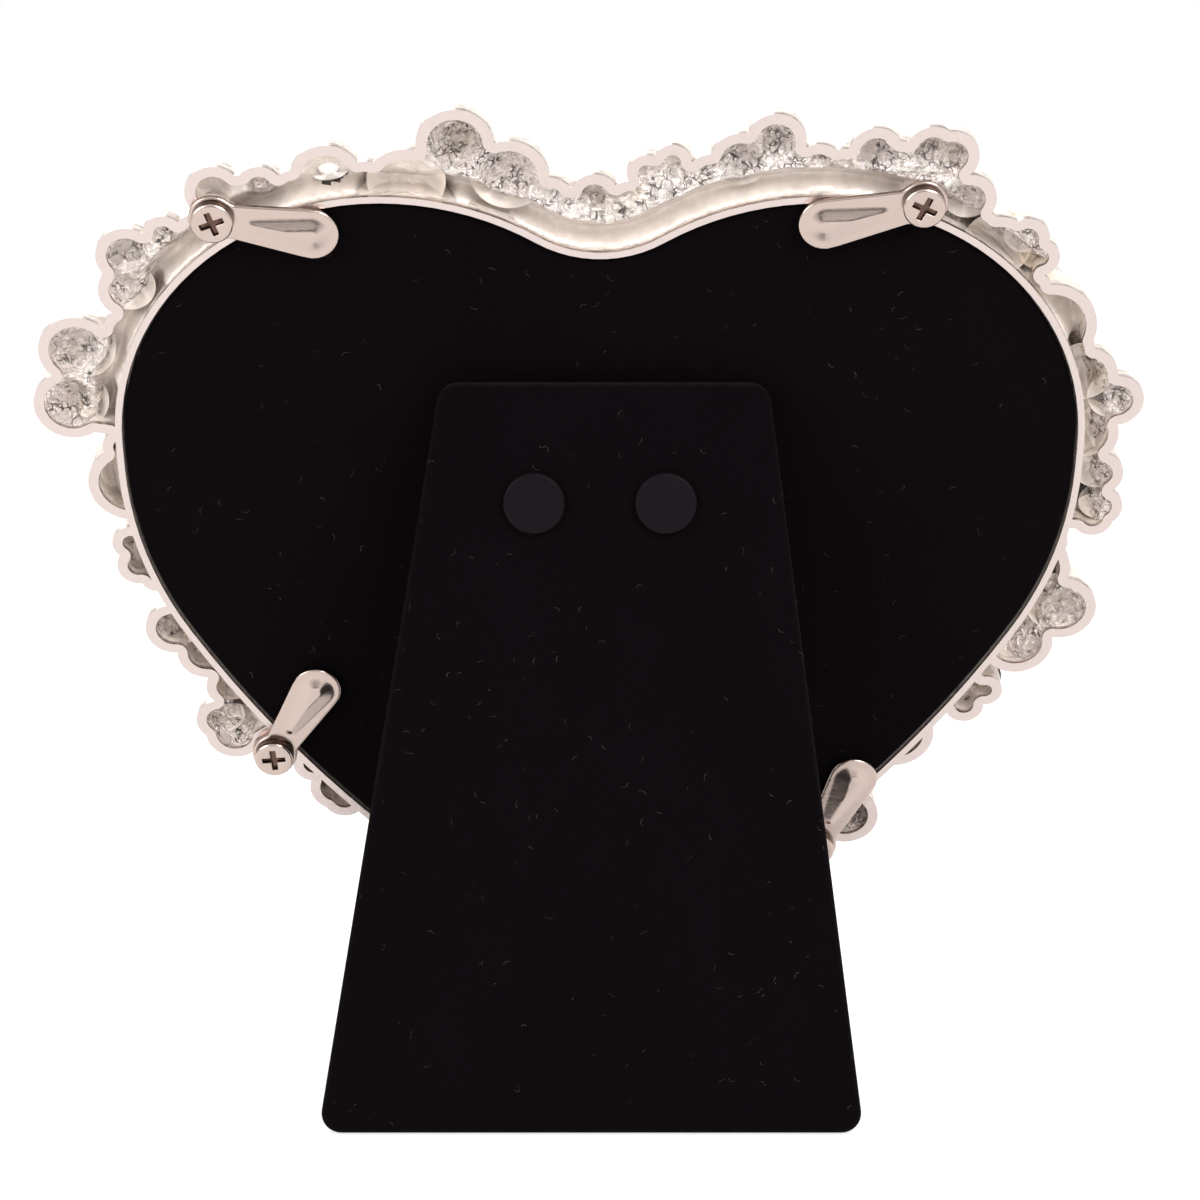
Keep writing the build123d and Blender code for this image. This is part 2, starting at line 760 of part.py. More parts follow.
with BuildPart(easel_plane) as easel_velvet:
    with BuildSketch(easel_plane.offset(lining_back)):
        add(easel_outer_shape)
    extrude(amount=velvet_back - lining_back)
    with BuildSketch(easel_plane.offset(lining_back)):
        add(easel_inner_shape)
    extrude(amount=velvet_front - lining_back, mode=Mode.SUBTRACT)
    with BuildSketch(easel_plane):
        with Locations(*easel_rivet_places):
            Circle(easel_rivet_radius + rivet_clearance)
    extrude(amount=overrun, mode=Mode.SUBTRACT)
    split(bisect_by=Plane.XY, keep=Keep.TOP)
easel_velvet.part.label = "easel_velvet"
export_step(easel_velvet.part, "parts/easel_velvet.step")

leaf_front = knuckle_radius - leaf_thickness
with BuildPart(easel_plane) as easel_rivets:
    with Locations(*[(*place, velvet_back) for place in easel_rivet_places]):
        Cylinder(easel_rivet_cap_radius, easel_rivet_cap, align=back_side)
        Cylinder(
            easel_rivet_radius,
            velvet_back - leaf_front,
            align=front_side,
        )
    with Locations(*[(*place, leaf_front) for place in easel_rivet_places]):
        Cylinder(easel_rivet_burr_radius, easel_rivet_burr, align=front_side)
    cap_faces = easel_rivets.faces().sort_by(Axis(easel_plane.origin, easel_plane.z_dir))[-2:]
    fillet(cap_faces.edges(), easel_rivet_bevel)
easel_rivets.part.label = "easel_rivets"
export_step(easel_rivets.part, "parts/easel_rivets.step")

easel_fold = easel_open - easel_folded
print("easel folds by", round(easel_fold, 2), "about", [round(value, 3) for value in pin_place])
for name, place in posts.items():
    screw_place = back_plane.from_local_coords((*place, button_level))
    print(name, [round(value, 3) for value in screw_place])
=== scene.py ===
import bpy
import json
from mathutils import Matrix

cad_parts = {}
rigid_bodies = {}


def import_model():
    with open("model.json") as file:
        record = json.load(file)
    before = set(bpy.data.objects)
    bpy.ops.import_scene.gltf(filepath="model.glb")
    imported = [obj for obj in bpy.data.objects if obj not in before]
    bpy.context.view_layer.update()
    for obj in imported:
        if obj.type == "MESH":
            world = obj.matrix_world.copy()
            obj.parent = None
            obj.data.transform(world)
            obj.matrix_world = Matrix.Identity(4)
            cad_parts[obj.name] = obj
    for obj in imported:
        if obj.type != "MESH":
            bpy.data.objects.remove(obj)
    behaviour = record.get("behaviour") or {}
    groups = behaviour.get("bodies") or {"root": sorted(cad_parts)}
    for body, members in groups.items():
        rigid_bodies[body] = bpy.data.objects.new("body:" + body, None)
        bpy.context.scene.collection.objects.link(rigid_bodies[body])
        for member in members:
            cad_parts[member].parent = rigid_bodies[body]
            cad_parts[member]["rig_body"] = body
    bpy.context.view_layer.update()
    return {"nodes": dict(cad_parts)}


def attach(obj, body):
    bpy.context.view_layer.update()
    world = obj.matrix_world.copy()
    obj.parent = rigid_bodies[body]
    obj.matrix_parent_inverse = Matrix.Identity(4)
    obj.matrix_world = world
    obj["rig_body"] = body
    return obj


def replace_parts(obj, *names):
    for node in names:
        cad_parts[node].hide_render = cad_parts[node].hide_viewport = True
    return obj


bl_info = {
    "name": "Heart Photo Frame",
    "version": (1, 0, 0),
    "blender": (4, 5, 0),
    "location": "View3D > Sidebar > Frame",
    "description": "Dresses a heart-shaped cast photo frame and sets it on its stage",
    "category": "Object",
}

import json
import math

import bmesh
import bpy
import numpy as np
from mathutils import Matrix, Vector, noise
from mathutils.bvhtree import BVHTree
from mathutils.geometry import delaunay_2d_cdt

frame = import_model()

MM = 0.001
LEAN = math.radians(15.0)
ACROSS = Vector((-1, 0, 0))
UPWARDS = Vector((0, math.sin(LEAN), math.cos(LEAN)))
BACKWARDS = Vector((0, math.cos(LEAN), -math.sin(LEAN)))
FOOT = Vector((0, 1.2, -0.8)) * MM

# Pocket's outline from the notch to the tip of one side: radius in mm, then turn in degrees;
# a straight run has no radius and gives its length
HEART_ARCS = (
    (14.0, 31.4), (34.0, -31.4), (31.4, -90.0), (None, 3.0), (47.0, -30.0), (150.0, -17.0),
)
TIP_RADIUS = 8.0
TIP_BORDER = 7.2
BORDER_WIDTH = 10.0
CURB_WALL = 0.8
PLAY = 0.25

# The blossoms' round fronts start at the rim's height and draw in by this draft
RIM_HEIGHT = 1.6
DRAFT = math.radians(33.0)
DOME_STEP = 0.15
STONE_SEAT = 0.3

# Blossoms: station along the outline, reach beyond it and radius as shares of the border width
BLOSSOMS = (
    (0.028, 0.85, 0.23), (0.035, 0.85, 0.22), (0.052, 0.61, 0.36), (0.062, 0.79, 0.34),
    (0.088, 0.66, 0.31), (0.102, 0.82, 0.31), (0.107, 0.84, 0.31), (0.117, 0.45, 0.31),
    (0.134, 0.12, 0.42), (0.138, 0.43, 0.26), (0.145, 0.37, 0.23), (0.189, 0.14, 0.39),
    (0.199, 0.45, 0.33), (0.210, 0.07, 0.41), (0.225, 0.29, 0.29), (0.237, 0.38, 0.26),
    (0.241, 0.32, 0.25), (0.276, 0.40, 0.43), (0.294, 0.18, 0.44), (0.316, 0.27, 0.21),
    (0.325, 0.19, 0.24), (0.387, 0.17, 0.41), (0.428, 0.22, 0.33), (0.441, 0.30, 0.28),
    (0.462, 0.12, 0.36), (0.500, 0.36, 0.36), (0.534, 0.20, 0.34), (0.556, 0.26, 0.30),
    (0.577, 0.10, 0.36), (0.596, 0.12, 0.30), (0.621, 0.07, 0.27), (0.626, 0.02, 0.34),
    (0.666, 0.47, 0.36), (0.673, 0.49, 0.30), (0.682, 0.08, 0.30), (0.698, 0.04, 0.35),
    (0.712, 0.17, 0.35), (0.733, 0.01, 0.20), (0.739, 0.16, 0.25), (0.748, 0.13, 0.23),
    (0.799, 0.60, 0.44), (0.816, 0.64, 0.45), (0.840, 0.42, 0.33), (0.849, 0.66, 0.36),
    (0.861, 0.55, 0.23), (0.892, 0.45, 0.26), (0.934, 0.22, 0.46), (0.946, 0.80, 0.44),
    (0.962, 0.59, 0.46), (0.996, 0.78, 0.28),
)
# Places between the blossoms, in the same shares
WEBS = (
    (0.009, 0.56), (0.018, 0.62), (0.043, 0.50), (0.073, 0.42), (0.080, 0.40), (0.094, 0.56),
    (0.125, 0.18), (0.152, 0.08), (0.178, 0.10), (0.349, -0.24), (0.639, -0.01), (0.785, 0.00),
    (0.828, 0.18), (0.868, 0.26), (0.886, 0.42), (0.901, 0.24), (0.922, 0.22), (0.975, 0.50),
    (0.985, 0.52),
)
# Cups with smooth floors, in the same shares; all but the last are plain in front too
CALM_CUPS = (
    (0.167, -0.03), (0.266, -0.20), (0.771, -0.04), (0.880, 0.61), (0.911, 0.34), (0.934, 0.22),
)
# Stations of the blossoms that hold a round stone
STONED = (0.062, 0.107, 0.199, 0.276, 0.666, 0.799, 0.816, 0.849, 0.946, 0.996)


def on_frame(u, v, w):
    """Point in metres for millimetres across, up and behind the leaning frame."""
    return FOOT + (ACROSS * u + UPWARDS * v + BACKWARDS * w) * MM


def to_frame(points):
    """Millimetres across, up and behind the leaning frame for points in metres."""
    axes = np.array([ACROSS, UPWARDS, BACKWARDS])
    return (np.asarray(points, float) - np.array(FOOT)) @ axes.T / MM


def half_outline(step=0.25):
    """Points, headings and arc lengths of the right half of the pocket's outline."""
    point, heading = np.zeros(2), 0.0
    points, headings = [point.copy()], [heading]

    def walk(radius, amount):
        nonlocal point, heading
        length = amount if radius is None else radius * math.radians(abs(amount))
        count = max(1, round(length / step))
        turn = 0.0 if radius is None else math.radians(amount) / count
        for _ in range(count):
            chord = length / count if not turn else 2 * radius * math.sin(abs(turn) / 2)
            heading += turn / 2
            point = point + chord * np.array([math.cos(heading), math.sin(heading)])
            heading += turn / 2
            points.append(point.copy())
            headings.append(heading)

    for radius, amount in HEART_ARCS:
        walk(radius, amount)
    left = 180.0 + math.degrees(heading)
    run = (point[0] - TIP_RADIUS * math.sin(math.radians(left))) / -math.cos(heading)
    walk(None, run)
    walk(TIP_RADIUS, -left)
    points, headings = np.array(points), np.array(headings)
    lengths = np.concatenate([[0], np.cumsum(np.linalg.norm(np.diff(points, axis=0), axis=1))])
    points[:, 1] += TIP_BORDER - points[:, 1].min()
    return points, headings, lengths / lengths[-1]


HALF = half_outline()


def border_point(station, reach):
    """Place at a station of the outline, beyond it by a share of the border's width."""
    points, headings, along = HALF
    reach *= BORDER_WIDTH
    share = 2 * min(station, 1 - station)
    side = math.copysign(1, 0.5 - station)
    x, y = (np.interp(share, along, points[:, k]) for k in (0, 1))
    heading = np.interp(share, along, headings)
    return side * (x - math.sin(heading) * reach), y + math.cos(heading) * reach


CUP_CENTERS = np.array([border_point(station, reach) for station, reach, _ in BLOSSOMS])
CUP_RADII = np.array([share * BORDER_WIDTH for _, _, share in BLOSSOMS])
CALM_CENTERS = np.array([border_point(*cup) for cup in CALM_CUPS])


def gaps_to(points, place):
    """Distances of points from a place."""
    return np.hypot(*(points - place).T)


def clamp(value, low=0.0, high=1.0):
    return min(max(value, low), high)


def heart_loop(inset, step=4):
    """Closed outline of the pocket, moved inwards, anticlockwise."""
    points, headings, _ = HALF
    keep = sorted(set(range(0, len(points), step)) | {len(points) - 1})
    x = points[keep, 0] + np.sin(headings[keep]) * inset
    y = points[keep, 1] - np.cos(headings[keep]) * inset
    right = np.stack([x, y], 1)
    right[0, 0] = right[-1, 0] = 0
    left = right[1:-1] * (-1, 1)
    return np.concatenate([left, right[::-1]])


def inside(points, loop):
    """True for each point within a closed outline."""
    x, y = points[:, 0][:, None], points[:, 1][:, None]
    a, b = loop, np.roll(loop, -1, 0)
    crosses = (a[:, 1] > y) != (b[:, 1] > y)
    with np.errstate(divide="ignore", invalid="ignore"):
        at = a[:, 0] + (y - a[:, 1]) / (b[:, 1] - a[:, 1]) * (b[:, 0] - a[:, 0])
    return ((crosses & (x < at)).sum(1) % 2).astype(bool)


def add_object(name, data):
    """New object in the scene."""
    made = bpy.data.objects.new(name, data)
    bpy.context.scene.collection.objects.link(made)
    return made


def new_piece(name, vertices, faces, material, smooth=True):
    """Mesh object in metres, in place, with its material."""
    mesh = bpy.data.meshes.new(name)
    mesh.from_pydata([tuple(p) for p in vertices], [], [tuple(f) for f in faces])
    mesh.validate()
    if smooth:
        mesh.shade_smooth()
    piece = add_object(name, mesh)
    if material:
        mesh.materials.append(material)
    return piece


def finish_node(name, material):
    """Gives a CAD node its material."""
    node = frame["nodes"][name]
    if not node.material_slots:
        node.data.materials.append(material)
    for slot in node.material_slots:
        slot.material = material


# Points nearer than this are one; edges that turn less are flat, and those that turn more are sharp
WELD = 2e-6
FLAT_TURN = math.radians(1)
SHARP_TURN = math.radians(30)
SHADING_TURN = math.radians(40)


def softened(node, material, width):
    """Piece in a CAD node's place, with its sharp edges rounded."""
    form = bmesh.new()
    form.from_mesh(frame["nodes"][node].data)
    bmesh.ops.remove_doubles(form, verts=form.verts, dist=WELD)
    bmesh.ops.dissolve_limit(form, angle_limit=FLAT_TURN, verts=form.verts, edges=form.edges)
    sharp = [e for e in form.edges if e.is_manifold and e.calc_face_angle(0) > SHARP_TURN]
    bmesh.ops.bevel(
        form, geom=sharp, offset=width, segments=3, profile=0.5, affect="EDGES", clamp_overlap=True
    )
    mesh = bpy.data.meshes.new(node + "_soft")
    form.to_mesh(mesh)
    form.free()
    mesh.shade_smooth()
    mesh.set_sharp_from_angle(angle=SHADING_TURN)
    mesh.materials.clear()
    mesh.materials.append(material)
    piece = add_object(node + "_soft", mesh)
    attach(piece, frame["nodes"][node]["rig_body"])
    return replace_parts(piece, node)


# Materials

# Most of a noise pattern's values lie between these
NOISE_SPREAD = (0.3, 0.7)


class Tree:
    """Node tree with short calls for its nodes."""

    def __init__(self, tree):
        self.tree = tree
        self.tree.nodes.clear()

    def link(self, source, target):
        self.tree.links.new(source, target)

    def node(self, kind, inputs=None, **settings):
        """New node, its settings made before its inputs are linked or set."""
        made = self.tree.nodes.new(kind)
        for name, value in settings.items():
            setattr(made, name, value)
        for name, value in (inputs or {}).items():
            if isinstance(value, bpy.types.Node):
                value = value.outputs[0]
            if isinstance(value, bpy.types.NodeSocket):
                self.link(value, made.inputs[name])
            else:
                made.inputs[name].default_value = value
        return made

    def math(self, kind, a, b, **settings):
        return self.node("ShaderNodeMath", {0: a, 1: b}, operation=kind, **settings).outputs[0]

    def times(self, a, b):
        return self.math("MULTIPLY", a, b)


class Recipe(Tree):
    """Node material on one shader, with short calls for its patterns."""

    def __init__(self, name):
        self.material = bpy.data.materials.new(name)
        self.material.use_nodes = True
        super().__init__(self.material.node_tree)
        self.shader = self.node("ShaderNodeBsdfPrincipled")
        self.node("ShaderNodeOutputMaterial", {"Surface": self.shader})
        self.place = self.node("ShaderNodeTexCoord").outputs["Object"]

    def set(self, **values):
        """Sets the shader's own sockets."""
        for name, value in values.items():
            self.shader.inputs[name.replace("_", " ")].default_value = value

    def vary(self, **sources):
        """Links patterns to the shader's sockets."""
        for name, source in sources.items():
            self.link(source, self.shader.inputs[name.replace("_", " ")])

    def stretched(self, scale):
        """The piece's own coordinates, scaled along its axes."""
        return self.node("ShaderNodeMapping", {"Vector": self.place, "Scale": scale}).outputs[0]

    def noise(self, scale, detail=3.0, roughness=0.5, vector=None, distortion=0.0):
        made = self.node(
            "ShaderNodeTexNoise",
            {"Vector": vector or self.place, "Scale": scale, "Detail": detail,
             "Roughness": roughness, "Distortion": distortion},
        )
        return made.outputs["Fac"]

    def cells(self, scale, feature="F1", vector=None):
        inputs = {"Vector": vector or self.place, "Scale": scale}
        return self.node("ShaderNodeTexVoronoi", inputs, feature=feature).outputs["Distance"]

    def mask(self, fac, black, white):
        """Black at one value of a pattern and white at another."""
        made = self.node("ShaderNodeValToRGB", {"Fac": fac})
        ends = sorted([(black, (0, 0, 0, 1)), (white, (1, 1, 1, 1))])
        for element, (position, color) in zip(made.color_ramp.elements, ends):
            element.position = position
            element.color = color
        return made.outputs["Color"]

    def span(self, fac, low, high, start=0.0, end=1.0):
        made = self.node(
            "ShaderNodeMapRange",
            {"Value": fac, "From Min": start, "From Max": end, "To Min": low, "To Max": high},
        )
        return made.outputs[0]

    def mix(self, fac, a, b):
        made = self.node("ShaderNodeMix", data_type="RGBA")
        for socket, value in ((0, fac), (6, a), (7, b)):
            if isinstance(value, bpy.types.NodeSocket):
                self.link(value, made.inputs[socket])
            else:
                made.inputs[socket].default_value = value if socket == 0 else (*value, 1)
        return made.outputs[2]

    def bump(self, height, distance, strength=1.0, below=None):
        """Bump on the shader's normal, over another where one is given."""
        inputs = {"Height": height, "Distance": distance, "Strength": strength}
        if below:
            inputs["Normal"] = below
        made = self.node("ShaderNodeBump", inputs)
        self.vary(Normal=made.outputs[0])
        return made.outputs[0]

    def dot(self, vector, direction):
        made = self.node("ShaderNodeVectorMath", {0: vector, 1: direction}, operation="DOT_PRODUCT")
        return made.outputs["Value"]

    def depth(self):
        """Millimetres behind the casting's back rim."""
        past = self.math("SUBTRACT", self.dot(self.place, BACKWARDS), FOOT.dot(BACKWARDS))
        return self.times(past, 1000.0)


def tinted(color, by):
    """Colour times a number, or times another colour."""
    return tuple(np.array(color) * by)


def satin(r, cream):
    """Cream plating in soft upright streaks."""
    streaks = r.noise(520.0, 3.0, 0.5, r.stretched((1.0, 0.14, 1.0)))
    return r.mix(r.span(streaks, 0.0, 1.0, *NOISE_SPREAD), tinted(cream, 0.76), cream)


def silver(name, settings, crumple):
    """Silver plate: bright rims, satin cream hollows, tarnished, with painted shade in dark lines
    on the upright walls.
    """
    r = Recipe(name)
    cream = settings.cream_color
    facing = r.dot(r.node("ShaderNodeNewGeometry").outputs["Normal"], BACKWARDS)
    behind = r.span(facing, 0.0, 1.0, -0.35, -0.1)
    hollow = r.times(r.span(r.depth(), 1.0, 0.0, -0.9, -0.3), behind)
    patches = r.mask(r.noise(95.0, 4.0, 0.6), 0.62, 0.78)
    tarnished = r.mix(patches, satin(r, cream), tinted(cream, (0.86, 0.76, 0.58)))
    tone = r.mix(hollow, settings.silver_color, tarnished)
    # Painted shade: dark broken lines on the upright walls just below the rims, strength set by the
    # painted wall shade setting
    upright = r.span(r.math("ABSOLUTE", facing, 0.0), 1.0, 0.0, 0.15, 0.45)
    near_rim = r.span(r.depth(), 0.0, 1.0, -2.1, -1.5)
    dark = r.mask(r.noise(1300.0, 3.0, 0.7, r.stretched((0.3, 1.0, 1.0))), 0.50, 0.62)
    painted_shade_lines = r.times(r.times(r.times(upright, near_rim), dark), settings.painted_wall_shade)
    r.vary(Base_Color=r.mix(painted_shade_lines, tone, tinted(cream, 0.16)))
    polish = r.span(r.noise(900.0, 3.0), 0.18, 0.30, *NOISE_SPREAD)
    r.vary(Roughness=r.math("ADD", polish, r.times(hollow, 0.16)))
    r.vary(Metallic=r.span(hollow, 1.0, 0.2))
    grain = r.bump(r.noise(3600.0, 3.0, 0.6), 0.00002, 0.12)
    if crumple:
        height = r.math("ADD", r.cells(1150.0), r.noise(1500.0, 4.0, 0.65, distortion=0.8))
        r.bump(height, 0.00045 * crumple, 1.0, grain)
    return r.material


def foil(name, settings):
    """Floor of the cups: crumpled like foil where it is rough, with painted shade in its creases,
    and satin elsewhere.
    """
    r = Recipe(name)
    rough = r.node("ShaderNodeAttribute", attribute_name="rough").outputs["Fac"]
    stains = r.mask(r.noise(150.0, 4.0, 0.6), 0.50, 0.75)
    bright = r.mix(stains, (0.92, 0.85, 0.82), (0.82, 0.73, 0.62))
    tone = r.mix(rough, satin(r, settings.cream_color), bright)
    wander = r.node("ShaderNodeTexNoise", {"Vector": r.place, "Scale": 480.0, "Detail": 4.0})
    wander = wander.outputs["Color"]
    shift = r.node("ShaderNodeVectorMath", {0: wander, 3: 0.0022}, operation="SCALE")
    bent = r.node("ShaderNodeVectorMath", {0: r.place, 1: shift}, operation="ADD").outputs[0]
    # Painted shade: thin dark lines along the crumples' creases, broken up by noise, only where the
    # floor is rough
    crease_shade_lines = r.span(r.cells(1250.0, "DISTANCE_TO_EDGE", bent), 1.0, 0.0, 0.02, 0.13)
    broken = r.mask(r.noise(650.0, 3.0, 0.6), 0.47, 0.60)
    painted_crease_shade = r.times(r.times(crease_shade_lines, broken), rough)
    r.vary(Base_Color=r.mix(painted_crease_shade, tone, (0.09, 0.075, 0.07)))
    r.vary(Roughness=r.span(rough, 0.42, 0.16))
    r.vary(Metallic=r.span(rough, 0.2, 0.8))
    height = r.math("ADD", r.cells(1000.0), r.noise(900.0, 5.0, 0.7, distortion=1.6))
    r.bump(r.times(height, rough), 0.0009, 1.0)
    return r.material


def nickel(name, settings, shade_level=None):
    """Satin nickel plate, brushed along its length, with painted shade below a level where one is
    given.
    """
    r = Recipe(name)
    base = settings.nickel_color
    brushed = r.noise(900.0, 3.0, 0.6, r.stretched((0.15, 1.0, 2.6)))
    tone = r.mix(brushed, tinted(base, 0.90), base)
    # Painted shade: the metal is darkened below this level, at the lower side of a screw's head
    if shade_level is not None:
        below = r.span(r.depth(), 1.0, 0.0, shade_level - 0.06, shade_level)
        tone = r.mix(below, tone, (0.11, 0.065, 0.05))
    r.vary(Base_Color=tone)
    r.vary(Roughness=r.span(brushed, 0.14, 0.28, *NOISE_SPREAD))
    r.set(Metallic=1.0)
    r.bump(brushed, 0.00002, 0.4)
    return r.material


def velvet(name, settings, lift=1.0):
    """Short black pile, brushed in soft patches, with a sheen."""
    r = Recipe(name)
    base = tinted(settings.velvet_color, lift)
    brushed = r.noise(60.0, 3.0, 0.6, r.stretched((1.0, 1.0, 0.5)))
    tone = r.mix(brushed, tinted(base, 0.75), tinted(base, 1.25))
    dust = r.mask(r.cells(900.0), 0.06, 0.035)
    rare = r.mask(r.noise(330.0, 2.0), 0.56, 0.62)
    r.vary(Base_Color=r.mix(r.times(dust, rare), tone, tinted(base, 6)))
    r.set(Roughness=1.0, Specular_IOR_Level=0.03, Sheen_Weight=0.03, Sheen_Roughness=0.35,
          Sheen_Tint=(0.55, 0.45, 0.52, 1))
    r.bump(r.noise(5200.0, 3.0, 0.8), 0.0002, 0.9)
    return r.material


def enamel(name):
    """Black enamelled rivet cap, lightly orange-peeled."""
    r = Recipe(name)
    tone = r.mix(r.noise(1200.0), (0.0045, 0.0028, 0.0042), (0.0070, 0.0048, 0.0066))
    r.vary(Base_Color=tone)
    r.vary(Roughness=r.span(r.noise(2500.0, 2.0), 0.42, 0.56, *NOISE_SPREAD))
    r.set(Specular_IOR_Level=0.04)
    r.bump(r.noise(3000.0, 2.0), 0.00002, 0.6)
    return r.material


def pearl(name):
    """Pearl lacquer with faint clouds under a clear coat."""
    r = Recipe(name)
    clouds = r.noise(500.0, 3.0)
    r.vary(Base_Color=r.mix(clouds, (0.66, 0.60, 0.52), (0.76, 0.71, 0.65)))
    r.vary(Roughness=r.span(clouds, 0.22, 0.34))
    r.set(Coat_Weight=0.7, Coat_Roughness=0.06, Subsurface_Weight=0.1, Subsurface_Scale=0.001,
          Sheen_Weight=0.1)
    return r.material


def crystal(name):
    """Cut clear crystal, faintly uneven."""
    r = Recipe(name)
    r.vary(Base_Color=r.mix(r.noise(900.0), (0.90, 0.93, 0.97), (1.0, 1.0, 1.0)))
    r.set(Roughness=0.02, IOR=1.56, Transmission_Weight=0.85)
    return r.material


def foiled_stone(name):
    """Oval stone over bright foil, which shows through its open back."""
    r = Recipe(name)
    facets = r.cells(1300.0)
    r.vary(Base_Color=r.mix(facets, (0.92, 0.88, 0.84), (0.78, 0.74, 0.72)))
    r.set(Roughness=0.18, Metallic=0.55, Coat_Weight=0.8, Coat_Roughness=0.03)
    r.bump(facets, 0.00012, 0.7)
    return r.material


def window_glass(name):
    """Clear float glass."""
    r = Recipe(name)
    r.vary(Base_Color=r.mix(r.noise(40.0), (0.965, 0.985, 0.975), (0.975, 0.99, 0.985)))
    r.set(Roughness=0.0, IOR=1.5, Transmission_Weight=1.0)
    return r.material


def paper(name, light, dark, grain=2600.0):
    """Matt paper or card with a fine grain."""
    r = Recipe(name)
    fibres = r.noise(grain, 4.0, 0.7)
    clouds = r.noise(grain * 0.04, 3.0)
    mixed = r.math("ADD", r.times(fibres, 0.6), r.times(clouds, 0.4))
    r.vary(Base_Color=r.mix(r.span(mixed, 0, 1, 0.35, 0.65), dark, light))
    r.set(Roughness=0.85, Specular_IOR_Level=0.3)
    r.bump(fibres, 0.00003, 0.5)
    return r.material


# Geometry Nodes


class Growth(Tree):
    """Geometry Nodes tree with short calls, put on an object and then made a plain mesh."""

    def __init__(self, name, sizes):
        super().__init__(bpy.data.node_groups.new(name, "GeometryNodeTree"))
        face = self.tree.interface
        face.new_socket("Geometry", in_out="INPUT", socket_type="NodeSocketGeometry")
        self.ids, self.sources = {}, []
        for label, value in sizes.items():
            socket = face.new_socket(label, in_out="INPUT", socket_type="NodeSocketFloat")
            self.ids[socket.identifier] = value
        face.new_socket("Geometry", in_out="OUTPUT", socket_type="NodeSocketGeometry")
        self.start = self.node("NodeGroupInput")
        self.end = self.node("NodeGroupOutput")

    def size(self, label):
        return self.start.outputs[label]

    def named(self, attribute, kind="FLOAT"):
        made = self.node("GeometryNodeInputNamedAttribute", {"Name": attribute}, data_type=kind)
        return made.outputs["Attribute"]

    def random(self, low, high, seed):
        """Random number at each point."""
        inputs = {2: low, 3: high, "Seed": seed}
        return self.node("FunctionNodeRandomValue", inputs, data_type="FLOAT").outputs[1]

    def turned(self, base, angle):
        """Rotation after a turn about its own upright axis."""
        spin = self.node("ShaderNodeCombineXYZ", {"Z": angle})
        spun = self.node("FunctionNodeEulerToRotation", {0: spin})
        return self.node("FunctionNodeRotateRotation", {0: base, 1: spun}, rotation_space="LOCAL")

    def front_turn(self):
        """Rotation that faces the frame's front, turned by the points' own amount."""
        base = self.node("FunctionNodeEulerToRotation", {0: (math.pi / 2 - LEAN, 0, 0)})
        return self.turned(base, self.named("turn"))

    def form(self, name, vertices, faces, smooth=True):
        """Geometry of an object that only serves as the source of instances."""
        source = new_piece(name, vertices, faces, None, smooth)
        source.hide_render = True
        self.sources.append(source)
        return self.node("GeometryNodeObjectInfo", {"Object": source}).outputs["Geometry"]

    def plant(self, points, instance, **how):
        """Instances on points."""
        inputs = {name.replace("_", " "): value for name, value in how.items()}
        inputs = {"Points": points, "Instance": instance, **inputs}
        return self.node("GeometryNodeInstanceOnPoints", inputs)

    def close(self, geometry, material):
        """Realizes the instances and sets their material."""
        real = self.node("GeometryNodeRealizeInstances", {"Geometry": geometry})
        painted = self.node("GeometryNodeSetMaterial", {"Geometry": real, "Material": material})
        self.link(painted.outputs[0], self.end.inputs[0])

    def grow(self, carrier, name):
        """Plain mesh piece, above the floor, from the tree's result on a carrier, which goes."""
        modifier = carrier.modifiers.new("growth", "NODES")
        modifier.node_group = self.tree
        for identifier, value in self.ids.items():
            modifier[identifier] = value
        bpy.context.view_layer.update()
        ready = carrier.evaluated_get(bpy.context.evaluated_depsgraph_get())
        mesh = bpy.data.meshes.new_from_object(ready)
        mesh.name = name
        places = np.empty(len(mesh.vertices) * 3, np.float32)
        mesh.vertices.foreach_get("co", places)
        places[2::3] = np.maximum(places[2::3], 0.0)
        mesh.vertices.foreach_set("co", places)
        carrier.modifiers.remove(modifier)
        for used in (carrier, *self.sources):
            bpy.data.objects.remove(used)
        return add_object(name, mesh)


def point_cloud(name, points, **attributes):
    """Object of loose vertices that carry attributes."""
    mesh = bpy.data.meshes.new(name)
    mesh.from_pydata([tuple(p) for p in points], [], [])
    for label, values in attributes.items():
        kind = "FLOAT_VECTOR" if hasattr(values[0], "__len__") else "FLOAT"
        layer = mesh.attributes.new(label, kind, "POINT")
        if kind == "FLOAT":
            layer.data.foreach_set("value", [float(x) for x in values])
        else:
            layer.data.foreach_set("vector", [float(x) for v in values for x in v])
    return add_object(name, mesh)


def casting_tree():
    """Search tree of the casting in millimetres across, up and behind."""
    mesh = frame["nodes"]["frame_casting"].data
    places = to_frame([v.co for v in mesh.vertices])
    polygons = [tuple(p.vertices) for p in mesh.polygons]
    return BVHTree.FromPolygons([Vector(p) for p in places], polygons)


def dome_ball(share):
    """Radius of the ball whose cap is a blossom's round front, and the level of its centre."""
    radius = (share * BORDER_WIDTH - DOME_STEP) / math.cos(DRAFT)
    return radius, radius * math.sin(DRAFT) - RIM_HEIGHT


# Pieces


# Relief of the hollows in millimetres: the field that it covers, then its levels and fades
FIELD_ACROSS = (-68, 68)
FIELD_UP = (-1, 128)
FIELD_REACH = 14
TROUGH_TOP = -0.5
RELIEF_TOP = -0.35
RELIEF_LIFT = 0.05
PETAL_RIPPLE = 0.16
FOLD_SIZE = 1.3
CURB_CLEARANCE, CURB_FADE = 2.6, 1.6
CALM_REACH, CALM_FADE = 3.4, 1.5
FILLET_TOP, FILLET_SLOPE = -0.9, 2.2
# Fade at a cup's rim, in shares of its radius
CUP_FADE = 0.3


